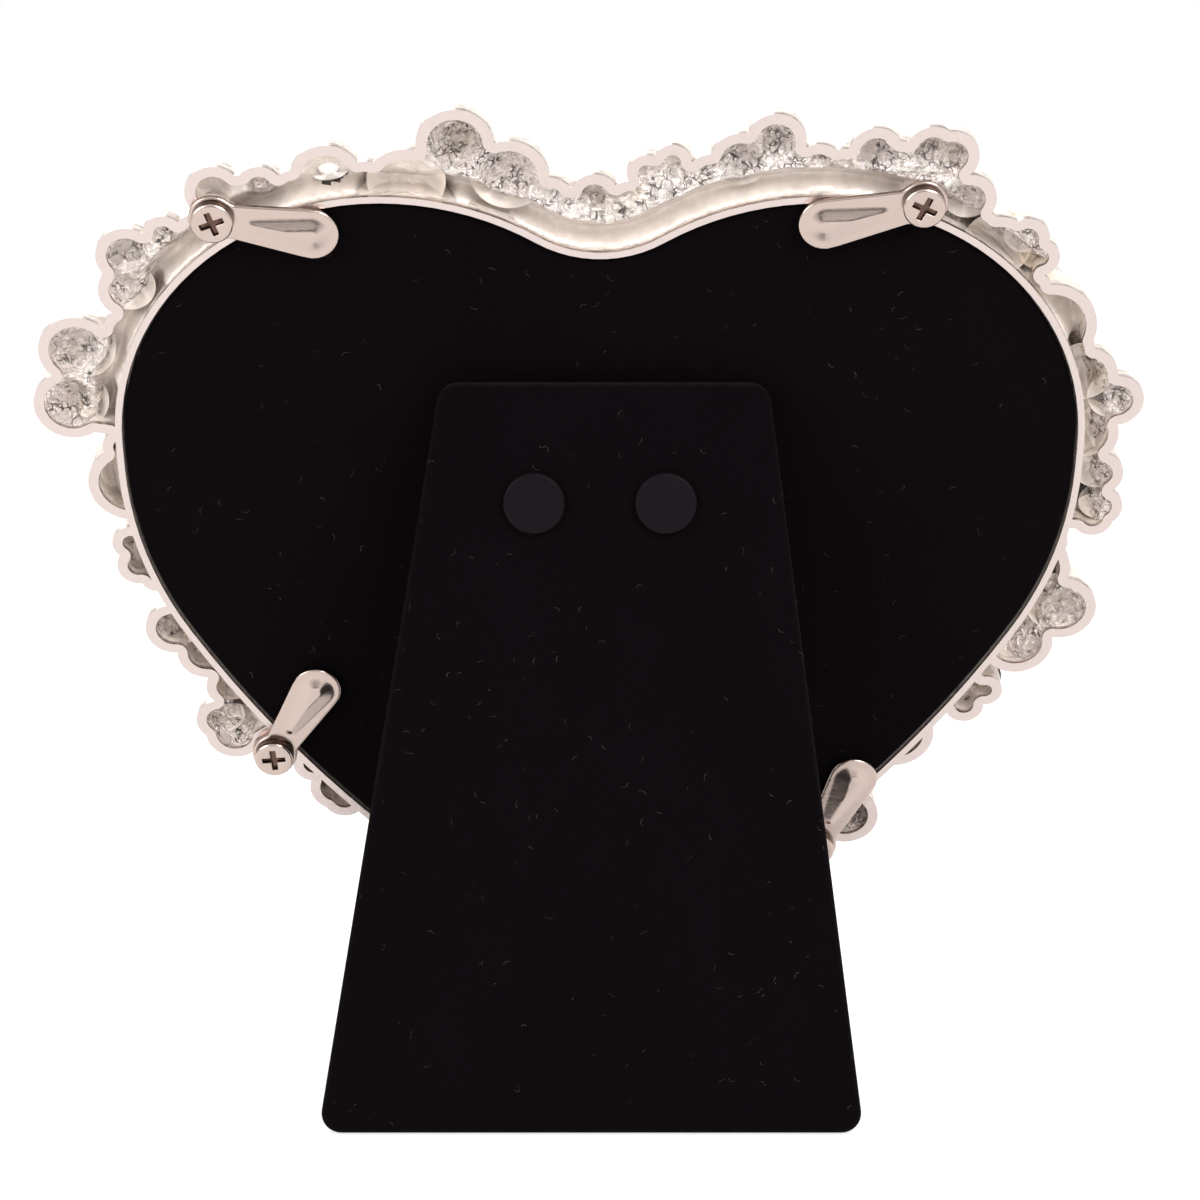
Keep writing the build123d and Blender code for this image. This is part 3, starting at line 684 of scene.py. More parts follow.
def make_hollows(settings, material):
    """Crumpled relief on the floors of the border's hollows."""
    tree = casting_tree()
    pitch = settings.relief_pitch / MM
    us = np.arange(*FIELD_ACROSS, pitch)
    vs = np.arange(*FIELD_UP, pitch)
    grid = np.stack(np.meshgrid(us, vs, indexing="ij"), -1).reshape(-1, 2)
    near = inside(grid, heart_loop(-FIELD_REACH)) & ~inside(grid, heart_loop(-CURB_WALL))
    floor = np.full(len(grid), np.nan)
    for k in np.flatnonzero(near):
        hit = tree.ray_cast(Vector((*grid[k], 3)), Vector((0, 0, -1)))[0]
        if hit is not None:
            floor[k] = hit.z
    wall = heart_loop(0, 2)
    heights, roughness = {}, {}
    for k in np.flatnonzero(near & (floor < TROUGH_TOP)):
        spot = grid[k]
        gaps = gaps_to(CUP_CENTERS, spot)
        cup = int(np.argmin(gaps / CUP_RADII))
        share = gaps[cup] / CUP_RADII[cup]
        angle = math.atan2(*(spot - CUP_CENTERS[cup])[::-1])
        reach = gaps_to(wall, spot).min()
        petals = PETAL_RIPPLE * (1 + math.cos(5 * angle + cup)) * min(share, 1)
        folds = noise.ridged_multi_fractal(
            Vector((*spot, 0)) / FOLD_SIZE, 0.9, 2.1, 4, 1.0, 2.0, noise_basis="PERLIN_ORIGINAL"
        )
        rough = clamp(max((reach - CURB_CLEARANCE) / CURB_FADE, (1.02 - share) / CUP_FADE), 0.06)
        rough *= clamp((gaps_to(CALM_CENTERS, spot).min() - CALM_REACH) / CALM_FADE, 0.15)
        lift = rough * (petals + settings.crumple_height / MM * folds)
        level = floor[k] + RELIEF_LIFT + max(lift, 0)
        slope = FILLET_TOP - FILLET_SLOPE * (reach - CURB_WALL)
        level += clamp((share - 1.0) / CUP_FADE) * max(slope - level, 0)
        heights[k] = min(level, RELIEF_TOP)
        roughness[k] = rough
    rows = len(vs)
    vertices, amounts, index, faces = [], [], {}, []

    def corner(k, level, amount):
        if k not in index:
            index[k] = len(vertices)
            x, y, z = on_frame(grid[k, 0], grid[k, 1], level)
            vertices.append((x, y, max(z, 0.0)))
            amounts.append(amount)
        return index[k]

    for i in range(len(us) - 1):
        for j in range(rows - 1):
            cell = [i * rows + j, (i + 1) * rows + j, (i + 1) * rows + j + 1, i * rows + j + 1]
            known = [heights[k] for k in cell if k in heights]
            if not known or any(near[k] and math.isnan(floor[k]) for k in cell):
                continue
            level = sum(known) / len(known)
            amount = max(roughness.get(k, 0.0) for k in cell)
            faces.append([corner(k, heights.get(k, level), roughness.get(k, amount)) for k in cell])
    piece = new_piece("hollow_relief", vertices, faces, material)
    layer = piece.data.attributes.new("rough", "FLOAT", "POINT")
    layer.data.foreach_set("value", amounts)
    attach(piece, "frame")
    return piece


# A flower's tilts in degrees, then its radii and reliefs in shares of the ball
PETALS_FROM, PETALS_OVER = 13, 44
BUTTON_REACH, GROOVE_WIDTH = 15, 4
FLOWER_TOP, FLOWER_BASE = 1.10, 1.005
PETAL_LIFT, VEIN_DEPTH = 0.14, 0.03
BUTTON_LIFT, GROOVE_DEPTH = 0.12, 0.04


def flower_form(petals, rows=11, columns=60):
    """Unit flower over the cap of a ball: petals round a button."""
    vertices = [(0, 0, FLOWER_TOP)]
    for j in range(1, rows + 1):
        tilt = (math.pi / 2 - DRAFT) * j / rows
        slope = math.degrees(tilt)
        swell = math.sin(math.pi * clamp((slope - PETALS_FROM) / PETALS_OVER) ** 0.5)
        button = BUTTON_LIFT * max(0, 1 - (slope / BUTTON_REACH) ** 2)
        groove = GROOVE_DEPTH * math.exp(-((slope - BUTTON_REACH) / GROOVE_WIDTH) ** 2)
        for i in range(columns):
            turn = 2 * math.pi * i / columns
            across = petals * turn / 2
            lobe = abs(math.cos(across))
            vein = math.exp(-(((across + math.pi / 2) % math.pi - math.pi / 2) / 0.12) ** 2)
            petal = swell * (PETAL_LIFT * lobe ** 0.7 - VEIN_DEPTH * vein)
            radius = FLOWER_BASE + petal + button - groove
            ring = radius * math.sin(tilt)
            vertices.append((ring * math.cos(turn), ring * math.sin(turn), radius * math.cos(tilt)))
    faces = [(0, 1 + i, 1 + (i + 1) % columns) for i in range(columns)]
    for j in range(rows - 1):
        for i in range(columns):
            a, b = 1 + j * columns + i, 1 + j * columns + (i + 1) % columns
            faces.append((a, a + columns, b + columns, b))
    return vertices, faces


# A leaf's half width and the heights of its arch, midrib and side veins, in shares of its length
LEAF_HALF, LEAF_ARCH = 0.42, 0.22
MIDRIB, SIDE_VEIN = 0.10, 0.03


def leaf_form(rows=10, columns=8):
    """Leaf of unit length, arched, with a midrib and side veins."""
    vertices, faces = [], []
    for j in range(rows + 1):
        t = j / rows
        rise = math.sin(math.pi * t)
        half = LEAF_HALF * math.sin(math.pi * t ** 0.85) ** 0.8 if 0 < j < rows else 0.0
        for i in range(columns + 1):
            s = 2 * i / columns - 1
            veins = SIDE_VEIN * math.cos(9 * math.pi * (t - 0.35 * abs(s)))
            rib = MIDRIB * math.exp(-(s / 0.22) ** 2) + veins
            lift = LEAF_ARCH * (1 - s * s) * rise + rib * rise
            vertices.append((half * s, t - 0.5, lift - 0.05))
    for j in range(rows):
        for i in range(columns):
            a = j * (columns + 1) + i
            faces.append((a, a + 1, a + columns + 2, a + columns + 1))
    return vertices, faces


def stone_form(sides=8):
    """Unit faceted stone: girdle, slanting facets and a flat table."""
    vertices, faces = [], []
    for ring, (radius, height) in enumerate(((1.0, 0.0), (1.0, 0.32), (0.80, 0.58), (0.55, 0.80))):
        for i in range(sides):
            turn = 2 * math.pi * (i + (0.5 if ring == 2 else 0)) / sides
            vertices.append((radius * math.cos(turn), radius * math.sin(turn), height))
    for i in range(sides):
        n = (i + 1) % sides
        faces.append((i, n, sides + n, sides + i))
        faces.append((sides + i, sides + n, 2 * sides + i))
        faces.append((2 * sides + i, sides + n, 2 * sides + n))
        faces.append((2 * sides + i, 3 * sides + n, 3 * sides + i))
        faces.append((2 * sides + i, 2 * sides + n, 3 * sides + n))
    faces.append(tuple(3 * sides + i for i in range(sides)))
    faces.append(tuple(reversed(range(sides))))
    return vertices, faces


# Beside a plain cup, up to this far from it in mm, only blossoms over this share are domed
PLAIN_REACH = 6.5
LEAST_DOME = 0.27


def make_flowers(settings, material):
    """Petals over the domes on the frame's front, by Geometry Nodes."""
    places, radii, turns, kinds = [], [], [], []
    for center, (_, _, share) in zip(CUP_CENTERS, BLOSSOMS):
        if share <= LEAST_DOME and gaps_to(CALM_CENTERS[:-1], center).min() <= PLAIN_REACH:
            continue
        radius, level = dome_ball(share)
        turns.append(2.4 * len(places))
        kinds.append(len(places) % 2)
        radii.append(radius * MM)
        places.append(on_frame(*center, level))
    cloud = point_cloud("flower_places", places, radius=radii, turn=turns, kind=kinds)
    growth = Growth("Flowers", {"Petal Size": settings.flower_size})
    both = growth.node("GeometryNodeJoinGeometry")
    for petals in (5, 6):
        form = growth.form(f"flower_of_{petals}", *flower_form(petals))
        single = growth.node("GeometryNodeGeometryToInstance", {0: form})
        growth.link(single.outputs[0], both.inputs[0])
    planted = growth.plant(
        growth.size("Geometry"), both, Pick_Instance=True, Instance_Index=growth.named("kind"),
        Rotation=growth.front_turn(),
        Scale=growth.times(growth.named("radius"), growth.size("Petal Size")),
    )
    growth.close(planted, material)
    piece = growth.grow(cloud, "flowers")
    piece.data.shade_smooth()
    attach(piece, "frame")
    return piece


# Leaves: shift along the outline and reach beyond it, in shares
LEAF_SHIFT = 0.005
LEAF_REACH = (0.10, 0.26)
# A blossom whose dome lies this far under the casting's front gets a rosette of leaves; both in mm
BURIED = 0.3
ROSETTE_RADIUS = 1.35
ROSETTE_LEAVES = 5


def make_leaves(settings, material):
    """Leaves between the blossoms, laid on the slope by Geometry Nodes."""
    tree = casting_tree()
    places, aims, turns = [], [], []

    def front_at(u, v):
        return tree.ray_cast(Vector((u, v, -30)), Vector((0, 0, 1)))[:2]

    def lay(u, v, turn):
        hit, normal = front_at(u, v)
        if hit is not None:
            places.append(on_frame(*hit))
            aim = ACROSS * normal.x + UPWARDS * normal.y + BACKWARDS * normal.z
            aims.append(aim.normalized())
            turns.append(turn)

    for k, (station, reach) in enumerate(WEBS):
        for side in (-1, 1):
            at = (station + side * LEAF_SHIFT) % 1
            lay(*border_point(at, clamp(reach, *LEAF_REACH)), side * 0.7 + 1.3 * k)
    for k, ((u, v), (_, _, share)) in enumerate(zip(CUP_CENTERS, BLOSSOMS)):
        radius, level = dome_ball(share)
        hit = front_at(u, v)[0]
        if hit is not None and hit.z < level - radius - BURIED:
            for petal in range(ROSETTE_LEAVES):
                angle = 2 * math.pi * petal / ROSETTE_LEAVES + k
                across = ROSETTE_RADIUS * math.cos(angle)
                up = ROSETTE_RADIUS * math.sin(angle)
                lay(u + across, v + up, math.pi / 2 - angle)
    cloud = point_cloud("leaf_places", places, aim=aims, turn=turns)
    growth = Growth("Leaves", {"Leaf Length": settings.leaf_length})
    aim = growth.named("aim", "FLOAT_VECTOR")
    aligned = growth.node("FunctionNodeAlignRotationToVector", {"Vector": aim}, axis="Z")
    planted = growth.plant(
        growth.size("Geometry"), growth.form("leaf_source", *leaf_form()),
        Rotation=growth.turned(aligned, growth.named("turn")), Scale=growth.size("Leaf Length"),
    )
    growth.close(planted, material)
    piece = growth.grow(cloud, "leaves")
    piece.data.shade_smooth()
    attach(piece, "frame")
    return piece


# Line of the beads in millimetres: inside the pocket's outline, and in front of the rim
BEAD_INSET = 1.65
BEAD_LEVEL = -9.1


def make_beads(settings, material):
    """Row of beads along the crest, by Geometry Nodes."""
    loop = heart_loop(BEAD_INSET, 2)
    count = len(loop)
    mesh = bpy.data.meshes.new("bead_line")
    edges = [(i, (i + 1) % count) for i in range(count)]
    mesh.from_pydata([on_frame(x, y, BEAD_LEVEL) for x, y in loop], edges, [])
    line = add_object("bead_line", mesh)
    growth = Growth(
        "Beads", {"Bead Diameter": settings.bead_diameter, "Pitch": settings.bead_pitch}
    )
    curve = growth.node("GeometryNodeMeshToCurve", {0: growth.size("Geometry")})
    spaced = growth.node(
        "GeometryNodeResampleCurve", {"Curve": curve, "Length": growth.size("Pitch")}, mode="LENGTH"
    )
    radius = growth.times(growth.size("Bead Diameter"), 0.5)
    bead = growth.node("GeometryNodeMeshUVSphere", {"Segments": 10, "Rings": 6, "Radius": radius})
    smooth = growth.node("GeometryNodeSetShadeSmooth", {0: bead})
    growth.close(growth.plant(spaced, smooth), material)
    piece = growth.grow(line, "crest_beads")
    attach(piece, "frame")
    return piece


def make_stones(settings, material):
    """Faceted stones on their blossoms, by Geometry Nodes."""
    places = []
    for station, reach, share in BLOSSOMS:
        if station in STONED:
            radius, level = dome_ball(share)
            places.append(on_frame(*border_point(station, reach), level - radius + STONE_SEAT))
    cloud = point_cloud("stone_places", places, turn=[0.7 * k for k in range(len(places))])
    growth = Growth("Stones", {"Stone Radius": settings.stone_radius})
    planted = growth.plant(
        growth.size("Geometry"), growth.form("stone_source", *stone_form(), smooth=False),
        Rotation=growth.front_turn(), Scale=growth.size("Stone Radius"),
    )
    growth.close(planted, material)
    piece = growth.grow(cloud, "cut_stones")
    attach(piece, "frame")
    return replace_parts(piece, "round_stones")


# Share of its thickness by which the drawn pane is thinner than its place
PANE_SLIMMING = 0.12


def make_pane(material):
    """Glass pane, a hair thinner than its place, so that its faces stay clear of the insert's."""
    mesh = frame["nodes"]["glass_pane"].data.copy()
    if mesh.has_custom_normals:
        mesh.attributes.remove(mesh.attributes["custom_normal"])
    depths = [vertex.co.dot(BACKWARDS) for vertex in mesh.vertices]
    middle = (min(depths) + max(depths)) / 2
    for vertex, depth in zip(mesh.vertices, depths):
        vertex.co -= BACKWARDS * (depth - middle) * PANE_SLIMMING
    mesh.shade_flat()
    mesh.materials.clear()
    mesh.materials.append(material)
    piece = add_object("window_pane", mesh)
    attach(piece, "frame")
    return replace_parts(piece, "glass_pane")


# In millimetres: size of a covered panel's ripples, and spacing of the points on a panel's face
RIPPLE_SIZE = 14
VELVET_SPACING = 2.5
STAMPING_SPACING = 0.24
# Share of a panel's face that the points cover
FACE_SHARE = 0.985


def ripples(height, seed):
    """Gentle rise and fall of a covered panel's face."""
    return lambda x, y: height * noise.noise(Vector((x / RIPPLE_SIZE, y / RIPPLE_SIZE, seed)))


def rolled(roll, top, count=5):
    """Insets and levels up a rounded edge."""
    angles = np.linspace(0, math.pi / 2, count)
    return [(roll * (1 - math.cos(a)), top - roll + roll * math.sin(a)) for a in angles]


def panel_mesh(profile, loop_at, place, spacing, relief):
    """Vertices and faces of a panel: its edge ring by ring, then its face with its relief."""
    loops = [loop_at(inset) for inset, _ in profile]
    count = len(loops[0])
    if any(len(loop) != count for loop in loops):
        raise RuntimeError("a panel's rings differ in their number of points")
    vertices, faces = [], []
    for loop, (_, level) in zip(loops, profile):
        vertices += [place(x, y, level) for x, y in loop]
    for ring in range(len(loops) - 1):
        for i in range(count):
            a, b = ring * count + i, ring * count + (i + 1) % count
            faces.append((a, b, b + count, a + count))
    inner = loops[-1]
    low, high = inner.min(0), inner.max(0)
    axes = [np.arange(start, end, spacing) for start, end in zip(low, high)]
    grid = np.stack(np.meshgrid(*axes), -1).reshape(-1, 2)
    center = inner.mean(0)
    grid = grid[inside(grid, center + (inner - center) * FACE_SHARE)]
    flat = [Vector(p) for p in inner] + [Vector(p) for p in grid]
    rim = [(i, (i + 1) % count) for i in range(count)]
    spots, _, cells, origins, _, _ = delaunay_2d_cdt(flat, rim, [], 1, 1e-5)
    base = (len(loops) - 1) * count
    top = profile[-1][1]
    renamed = {}
    for k, (spot, source) in enumerate(zip(spots, origins)):
        rims = [s for s in source if s < count]
        if rims:
            renamed[k] = base + rims[0]
            continue
        renamed[k] = len(vertices)
        vertices.append(place(spot.x, spot.y, top + relief(spot.x, spot.y)))
    faces += [[renamed[k] for k in cell] for cell in cells]
    return vertices, faces


def aimed_outwards(piece, direction):
    """Flips a sheet's faces if most of its area looks the other way."""
    mesh = piece.data
    facing = sum((p.normal * p.area for p in mesh.polygons), Vector()).dot(direction)
    if facing < 0:
        mesh.flip_normals()


# Front and back of the backing's velvet against the rim, and the roll of its edge
BACKING_FRONT = -0.72
BACKING_BACK = -0.25
BACKING_ROLL = 0.45


def make_backing(material):
    """Velvet over the backing, rolled at its edge."""
    profile = [(0.0, BACKING_FRONT)] + rolled(BACKING_ROLL, BACKING_BACK)
    vertices, faces = panel_mesh(
        profile, lambda inset: heart_loop(PLAY + inset), on_frame, VELVET_SPACING, ripples(0.05, 3)
    )
    piece = new_piece("backing_pile", vertices, faces, material)
    aimed_outwards(piece, BACKWARDS)
    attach(piece, "frame")
    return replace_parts(piece, "backing_velvet")


EASEL_TILT = math.radians(21.7 - 15.0)
PIN = Vector((0, 25.413, 84.541)) * MM
EASEL_UP = Vector((0, -math.sin(EASEL_TILT), math.cos(EASEL_TILT)))
EASEL_BACK = Vector((0, math.cos(EASEL_TILT), math.sin(EASEL_TILT)))
FLOOR_GAP = 0.00002


def on_easel(u, v, w):
    """Point in metres for millimetres across, up and behind the easel's pin, above the floor."""
    point = PIN + (ACROSS * u + EASEL_UP * v + EASEL_BACK * w) * MM
    point.z = max(point.z, FLOOR_GAP)
    return point


# Easel in millimetres: half width and middle at its top and foot, height of its top over the pin,
# radius of its corners, then its front and back faces and the roll of its edge
EASEL_HEAD = (19.1, 0.5)
EASEL_FOOT = (33.2, -1.1)
EASEL_TOP = 6.2
EASEL_CORNER = 2.4
EASEL_FRONT = 1.3
EASEL_REAR = 4.05
EASEL_ROLL = 0.9
# How far its foot runs below the floor before it is flattened there
EASEL_SPARE = 0.1
# Insets of the velvet where it turns under at the front, and their heights over the front face
EASEL_HEM = ((0.45, 0.02), (0.12, 0.02), (0.0, 0.15))


def easel_loop(inset, drop, step=0.8):
    """Closed outline of the easel with round corners, moved inwards."""
    sides = (
        (EASEL_HEAD, EASEL_TOP, -1), (EASEL_FOOT, -drop, -1),
        (EASEL_FOOT, -drop, 1), (EASEL_HEAD, EASEL_TOP, 1),
    )
    corners = [Vector((middle + side * half, height)) for (half, middle), height, side in sides]
    points = []
    for k, corner in enumerate(corners):
        back, ahead = corners[k - 1], corners[(k + 1) % 4]
        a, b = (back - corner).normalized(), (ahead - corner).normalized()
        half = a.angle(b) / 2
        middle = corner + (a + b).normalized() * (EASEL_CORNER / math.sin(half))
        start = (corner + a * (EASEL_CORNER / math.tan(half))) - middle
        end = (corner + b * (EASEL_CORNER / math.tan(half))) - middle
        sweep = start.angle_signed(end)
        for i in range(9):
            turned = start.copy()
            turned.rotate(Matrix.Rotation(-sweep * i / 8, 2))
            points.append(middle + turned * (1 - inset / EASEL_CORNER))
    rounded = []
    for k, point in enumerate(points):
        ahead = points[(k + 1) % len(points)]
        reach = (ahead - point).length
        count = max(1, round(reach / step)) if reach > 2 * step else 1
        rounded += [point.lerp(ahead, i / count) for i in range(count)]
    return np.array([tuple(p) for p in rounded])


def make_easel(material):
    """Velvet wrapped round the easel's board."""
    drop = PIN.z / MM + EASEL_FRONT * math.sin(EASEL_TILT) + EASEL_SPARE
    drop /= math.cos(EASEL_TILT)
    profile = [(inset, EASEL_FRONT + height) for inset, height in EASEL_HEM]
    profile += rolled(EASEL_ROLL, EASEL_REAR, 6)
    vertices, faces = panel_mesh(
        profile, lambda inset: easel_loop(inset, drop), on_easel, VELVET_SPACING, ripples(0.07, 9)
    )
    piece = new_piece("easel_pile", vertices, faces, material)
    aimed_outwards(piece, EASEL_BACK)
    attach(piece, "easel")
    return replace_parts(piece, "easel_velvet")


# Turn buttons: station of the screw and its reach in shares, then the heading in degrees
BUTTONS = {
    "turn_button_top_left": (0.876, 0.38, -9.8),
    "turn_button_top_right": (0.105, 0.23, 193.3),
    "turn_button_bottom_left": (0.652, 0.23, 59.7),
    "turn_button_bottom_right": (0.4025, 0.17, 66.6),
}
# In millimetres: a button's levels, its eye's radius, and for its blade and its raised teardrop
# the starts, ends and radii of two circles on its axis
BUTTON_TOP = 0.95
BUTTON_THICKNESS = 0.8
BUTTON_EYE = 2.78
BUTTON_BLADE = (0.0, 11.3, 1.8, 3.05)
BUTTON_DROP = (4.6, 11.2, 0.7, 2.0)
BUTTON_MIDDLE = 4.0
BUTTON_POINTS = 120
BUTTON_BLEND = 0.4
DROP_SHOULDER = 0.15
DROP_FLANK = 1.5


def teardrop(x, y, start, end, start_radius, end_radius):
    """Distance from the edge of two circles on the x axis and the strip that spans them."""
    length = end - start
    lean = (start_radius - end_radius) / length
    upright = math.sqrt(1 - lean * lean)
    side, along = abs(y), x - start
    turn = upright * along - lean * side
    if turn < 0:
        return math.hypot(side, along) - start_radius
    if turn > upright * length:
        return math.hypot(side, along - length) - end_radius
    return upright * side + lean * along - start_radius


def button_edge(x, y):
    """Distance from a turn button's outline, its eye blended into its blade."""
    eye = math.hypot(x, y) - BUTTON_EYE
    blade = teardrop(x, y, *BUTTON_BLADE)
    blend = max(BUTTON_BLEND - abs(eye - blade), 0) / BUTTON_BLEND
    return min(eye, blade) - blend * blend * 0.1


def button_loop(inset):
    """Outline of a turn button, moved inwards."""
    loop = []
    for k in range(BUTTON_POINTS):
        turn = 2 * math.pi * k / BUTTON_POINTS
        low, high = 0.0, 12.0
        for _ in range(24):
            reach = (low + high) / 2
            gap = button_edge(BUTTON_MIDDLE + reach * math.cos(turn), reach * math.sin(turn))
            low, high = (reach, high) if gap < -inset else (low, reach)
        loop.append((BUTTON_MIDDLE + low * math.cos(turn), low * math.sin(turn)))
    return np.array(loop)


def button_bump(height):
    """Raised teardrop in a turn button's blade."""

    def relief(x, y):
        inwards = DROP_SHOULDER - teardrop(x, y, *BUTTON_DROP)
        return height * clamp(inwards / DROP_FLANK) ** 1.1

    return relief


def make_button(settings, node, material):
    """Stamped turn button with rolled edges and a raised teardrop."""
    station, reach, heading = BUTTONS[node]
    u, v = border_point(station, reach)
    c, s = math.cos(math.radians(heading)), math.sin(math.radians(heading))

    def place(x, y, level):
        return on_frame(u + x * c - y * s, v + x * s + y * c, level)

    roll = settings.edge_round / MM
    bottom = BUTTON_TOP - BUTTON_THICKNESS
    profile = [(roll, bottom), (0.0, bottom + roll)] + rolled(roll, BUTTON_TOP)
    bump = button_bump(settings.bump_height / MM)
    vertices, faces = panel_mesh(profile, button_loop, place, STAMPING_SPACING, bump)
    faces.append(tuple(range(BUTTON_POINTS)))
    piece = new_piece(node + "_stamping", vertices, faces, material)
    form = bmesh.new()
    form.from_mesh(piece.data)
    bmesh.ops.recalc_face_normals(form, faces=form.faces)
    form.to_mesh(piece.data)
    form.free()
    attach(piece, frame["nodes"][node]["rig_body"])
    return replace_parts(piece, node)


# Lint: a fibre's radius, its bend in radians and the shortest as a share of the longest
LINT_RADIUS = 0.008 * MM
LINT_BEND = 1.9
LINT_SHORTEST = 0.35


def make_lint(settings, carrier, name, body, density, seed, material):
    """Lint caught in the pile, by Geometry Nodes."""
    copy = add_object(name + "_carrier", carrier.data.copy())
    growth = Growth(name, {"Density": density, "Fibre Length": settings.lint_length})
    spread = growth.node(
        "GeometryNodeDistributePointsOnFaces",
        {"Mesh": growth.size("Geometry"), "Density": growth.size("Density"), "Seed": seed},
    )
    arc = growth.node(
        "GeometryNodeCurveArc",
        {"Resolution": 6, "Radius": 0.5, "Sweep Angle": LINT_BEND}, mode="RADIUS",
    )
    size = growth.random(LINT_SHORTEST, 1.0, seed + 1)
    turn = growth.random(0.0, 2 * math.pi, seed + 2)
    planted = growth.plant(
        spread.outputs["Points"], arc, Rotation=growth.turned(spread.outputs["Rotation"], turn),
        Scale=growth.times(size, growth.size("Fibre Length")),
    )
    fibres = growth.node("GeometryNodeRealizeInstances", {0: planted})
    section = growth.node(
        "GeometryNodeCurvePrimitiveCircle", {"Resolution": 3, "Radius": LINT_RADIUS}, mode="RADIUS"
    )
    tube = growth.node("GeometryNodeCurveToMesh", {"Curve": fibres, "Profile Curve": section})
    growth.close(tube, material)
    piece = growth.grow(copy, name)
    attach(piece, body)
    return piece


def lint(name):
    """Grey lint."""
    r = Recipe(name)
    r.vary(Base_Color=r.mix(r.noise(300.0), (0.02, 0.018, 0.02), (0.22, 0.20, 0.20)))
    r.set(Roughness=0.9)
    return r.material


class FrameSettings(bpy.types.PropertyGroup):
    """Sizes and colours of the frame's dressing."""

    silver_color: bpy.props.FloatVectorProperty(
        name="Silver", description="Colour of the plated rims", default=(0.59, 0.505, 0.48),
        min=0.0, max=1.0, size=3, subtype="COLOR",
    )
    cream_color: bpy.props.FloatVectorProperty(
        name="Cream", description="Colour of the plating in the hollows",
        default=(0.80, 0.72, 0.655), min=0.0, max=1.0, size=3, subtype="COLOR",
    )
    # Strength of the painted shade: dark lines on the upright walls near the rims
    painted_wall_shade: bpy.props.FloatProperty(
        name="Hatch", description="Strength of the dark hatching on the upright walls",
        default=0.5, min=0.0, max=1.0,
    )
    nickel_color: bpy.props.FloatVectorProperty(
        name="Nickel", description="Colour of the fittings", default=(0.52, 0.42, 0.375),
        min=0.0, max=1.0, size=3, subtype="COLOR",
    )
    velvet_color: bpy.props.FloatVectorProperty(
        name="Velvet", description="Colour of the pile", default=(0.0020, 0.0012, 0.0018),
        min=0.0, max=1.0, size=3, subtype="COLOR",
    )
    relief_pitch: bpy.props.FloatProperty(
        name="Relief Pitch", description="Spacing of the points in the hollows' relief",
        default=0.27 * MM, min=0.1 * MM, unit="LENGTH",
    )
    crumple_height: bpy.props.FloatProperty(
        name="Crumple Height", description="Height of the crumpled folds in the hollows",
        default=0.28 * MM, min=0.0, unit="LENGTH",
    )
    flower_size: bpy.props.FloatProperty(
        name="Flower Size", description="Size of a flower as a share of its dome",
        default=1.0, min=0.5, max=1.2,
    )
    leaf_length: bpy.props.FloatProperty(
        name="Leaf Length", description="Length of a leaf between blossoms",
        default=3.2 * MM, min=0.0, unit="LENGTH",
    )
    bead_diameter: bpy.props.FloatProperty(
        name="Bead Diameter", description="Diameter of the beads along the crest",
        default=1.0 * MM, min=0.1 * MM, unit="LENGTH",
    )
    bead_pitch: bpy.props.FloatProperty(
        name="Bead Pitch", description="Spacing of the beads along the crest",
        default=1.15 * MM, min=0.1 * MM, unit="LENGTH",
    )
    stone_radius: bpy.props.FloatProperty(
        name="Stone Radius", description="Radius of the round stones",
        default=1.25 * MM, min=0.1 * MM, unit="LENGTH",
    )
    edge_round: bpy.props.FloatProperty(
        name="Edge Round", description="Rounding of the stamped fittings' edges",
        default=0.22 * MM, min=0.0, unit="LENGTH",
    )
    bump_height: bpy.props.FloatProperty(
        name="Bump Height", description="Height of the teardrop pressed out of a turn button",
        default=0.65 * MM, min=0.0, unit="LENGTH",
    )
    screw_round: bpy.props.FloatProperty(
        name="Screw Round", description="Rounding of the screw heads' edges",
        default=0.08 * MM, min=0.0, unit="LENGTH",
    )
    lint_length: bpy.props.FloatProperty(
        name="Lint Length", description="Longest fibre of lint on the velvet",
        default=1.2 * MM, min=0.0, unit="LENGTH",
    )


class FRAME_OT_casting(bpy.types.Operator):
    """Finish the casting and its hollows"""

    bl_idname = "heart_frame.casting"
    bl_label = "Casting"

    def execute(self, context):
        settings = context.scene.heart_frame
        finish_node("frame_casting", silver("plated casting", settings, 0.04))
        make_hollows(settings, foil("crumpled plating", settings))
        return {"FINISHED"}


class FRAME_OT_ornaments(bpy.types.Operator):
    """Make the flowers, leaves and beads of the front"""

    bl_idname = "heart_frame.ornaments"
    bl_label = "Ornaments"

    def execute(self, context):
        settings = context.scene.heart_frame
        plated = silver("front plating", settings, 0.0)
        make_flowers(settings, plated)
        make_leaves(settings, plated)
        make_beads(settings, plated)
        return {"FINISHED"}


class FRAME_OT_stones(bpy.types.Operator):
    """Set the stones and half pearls"""

    bl_idname = "heart_frame.stones"
    bl_label = "Stones"

    def execute(self, context):
        make_stones(context.scene.heart_frame, crystal("cut crystal"))
        finish_node("oval_stone", foiled_stone("foiled stone"))
        finish_node("half_pearls", pearl("pearl lacquer"))
        return {"FINISHED"}


class FRAME_OT_window(bpy.types.Operator):
    """Finish the glass, the insert and the boards"""

    bl_idname = "heart_frame.window"
    bl_label = "Window"

    def execute(self, context):
        make_pane(window_glass("window glass"))
        finish_node("photo_print", paper("insert paper", (0.86, 0.84, 0.80), (0.80, 0.78, 0.73)))
        board = paper("grey board", (0.46, 0.44, 0.41), (0.36, 0.34, 0.32), 1800.0)
        lining = paper("lining paper", (0.10, 0.10, 0.11), (0.06, 0.06, 0.07))
        for name in ("filler_card", "backing_board", "easel_board"):
            finish_node(name, board)
        for name in ("backing_lining", "easel_lining"):
            finish_node(name, lining)
        return {"FINISHED"}


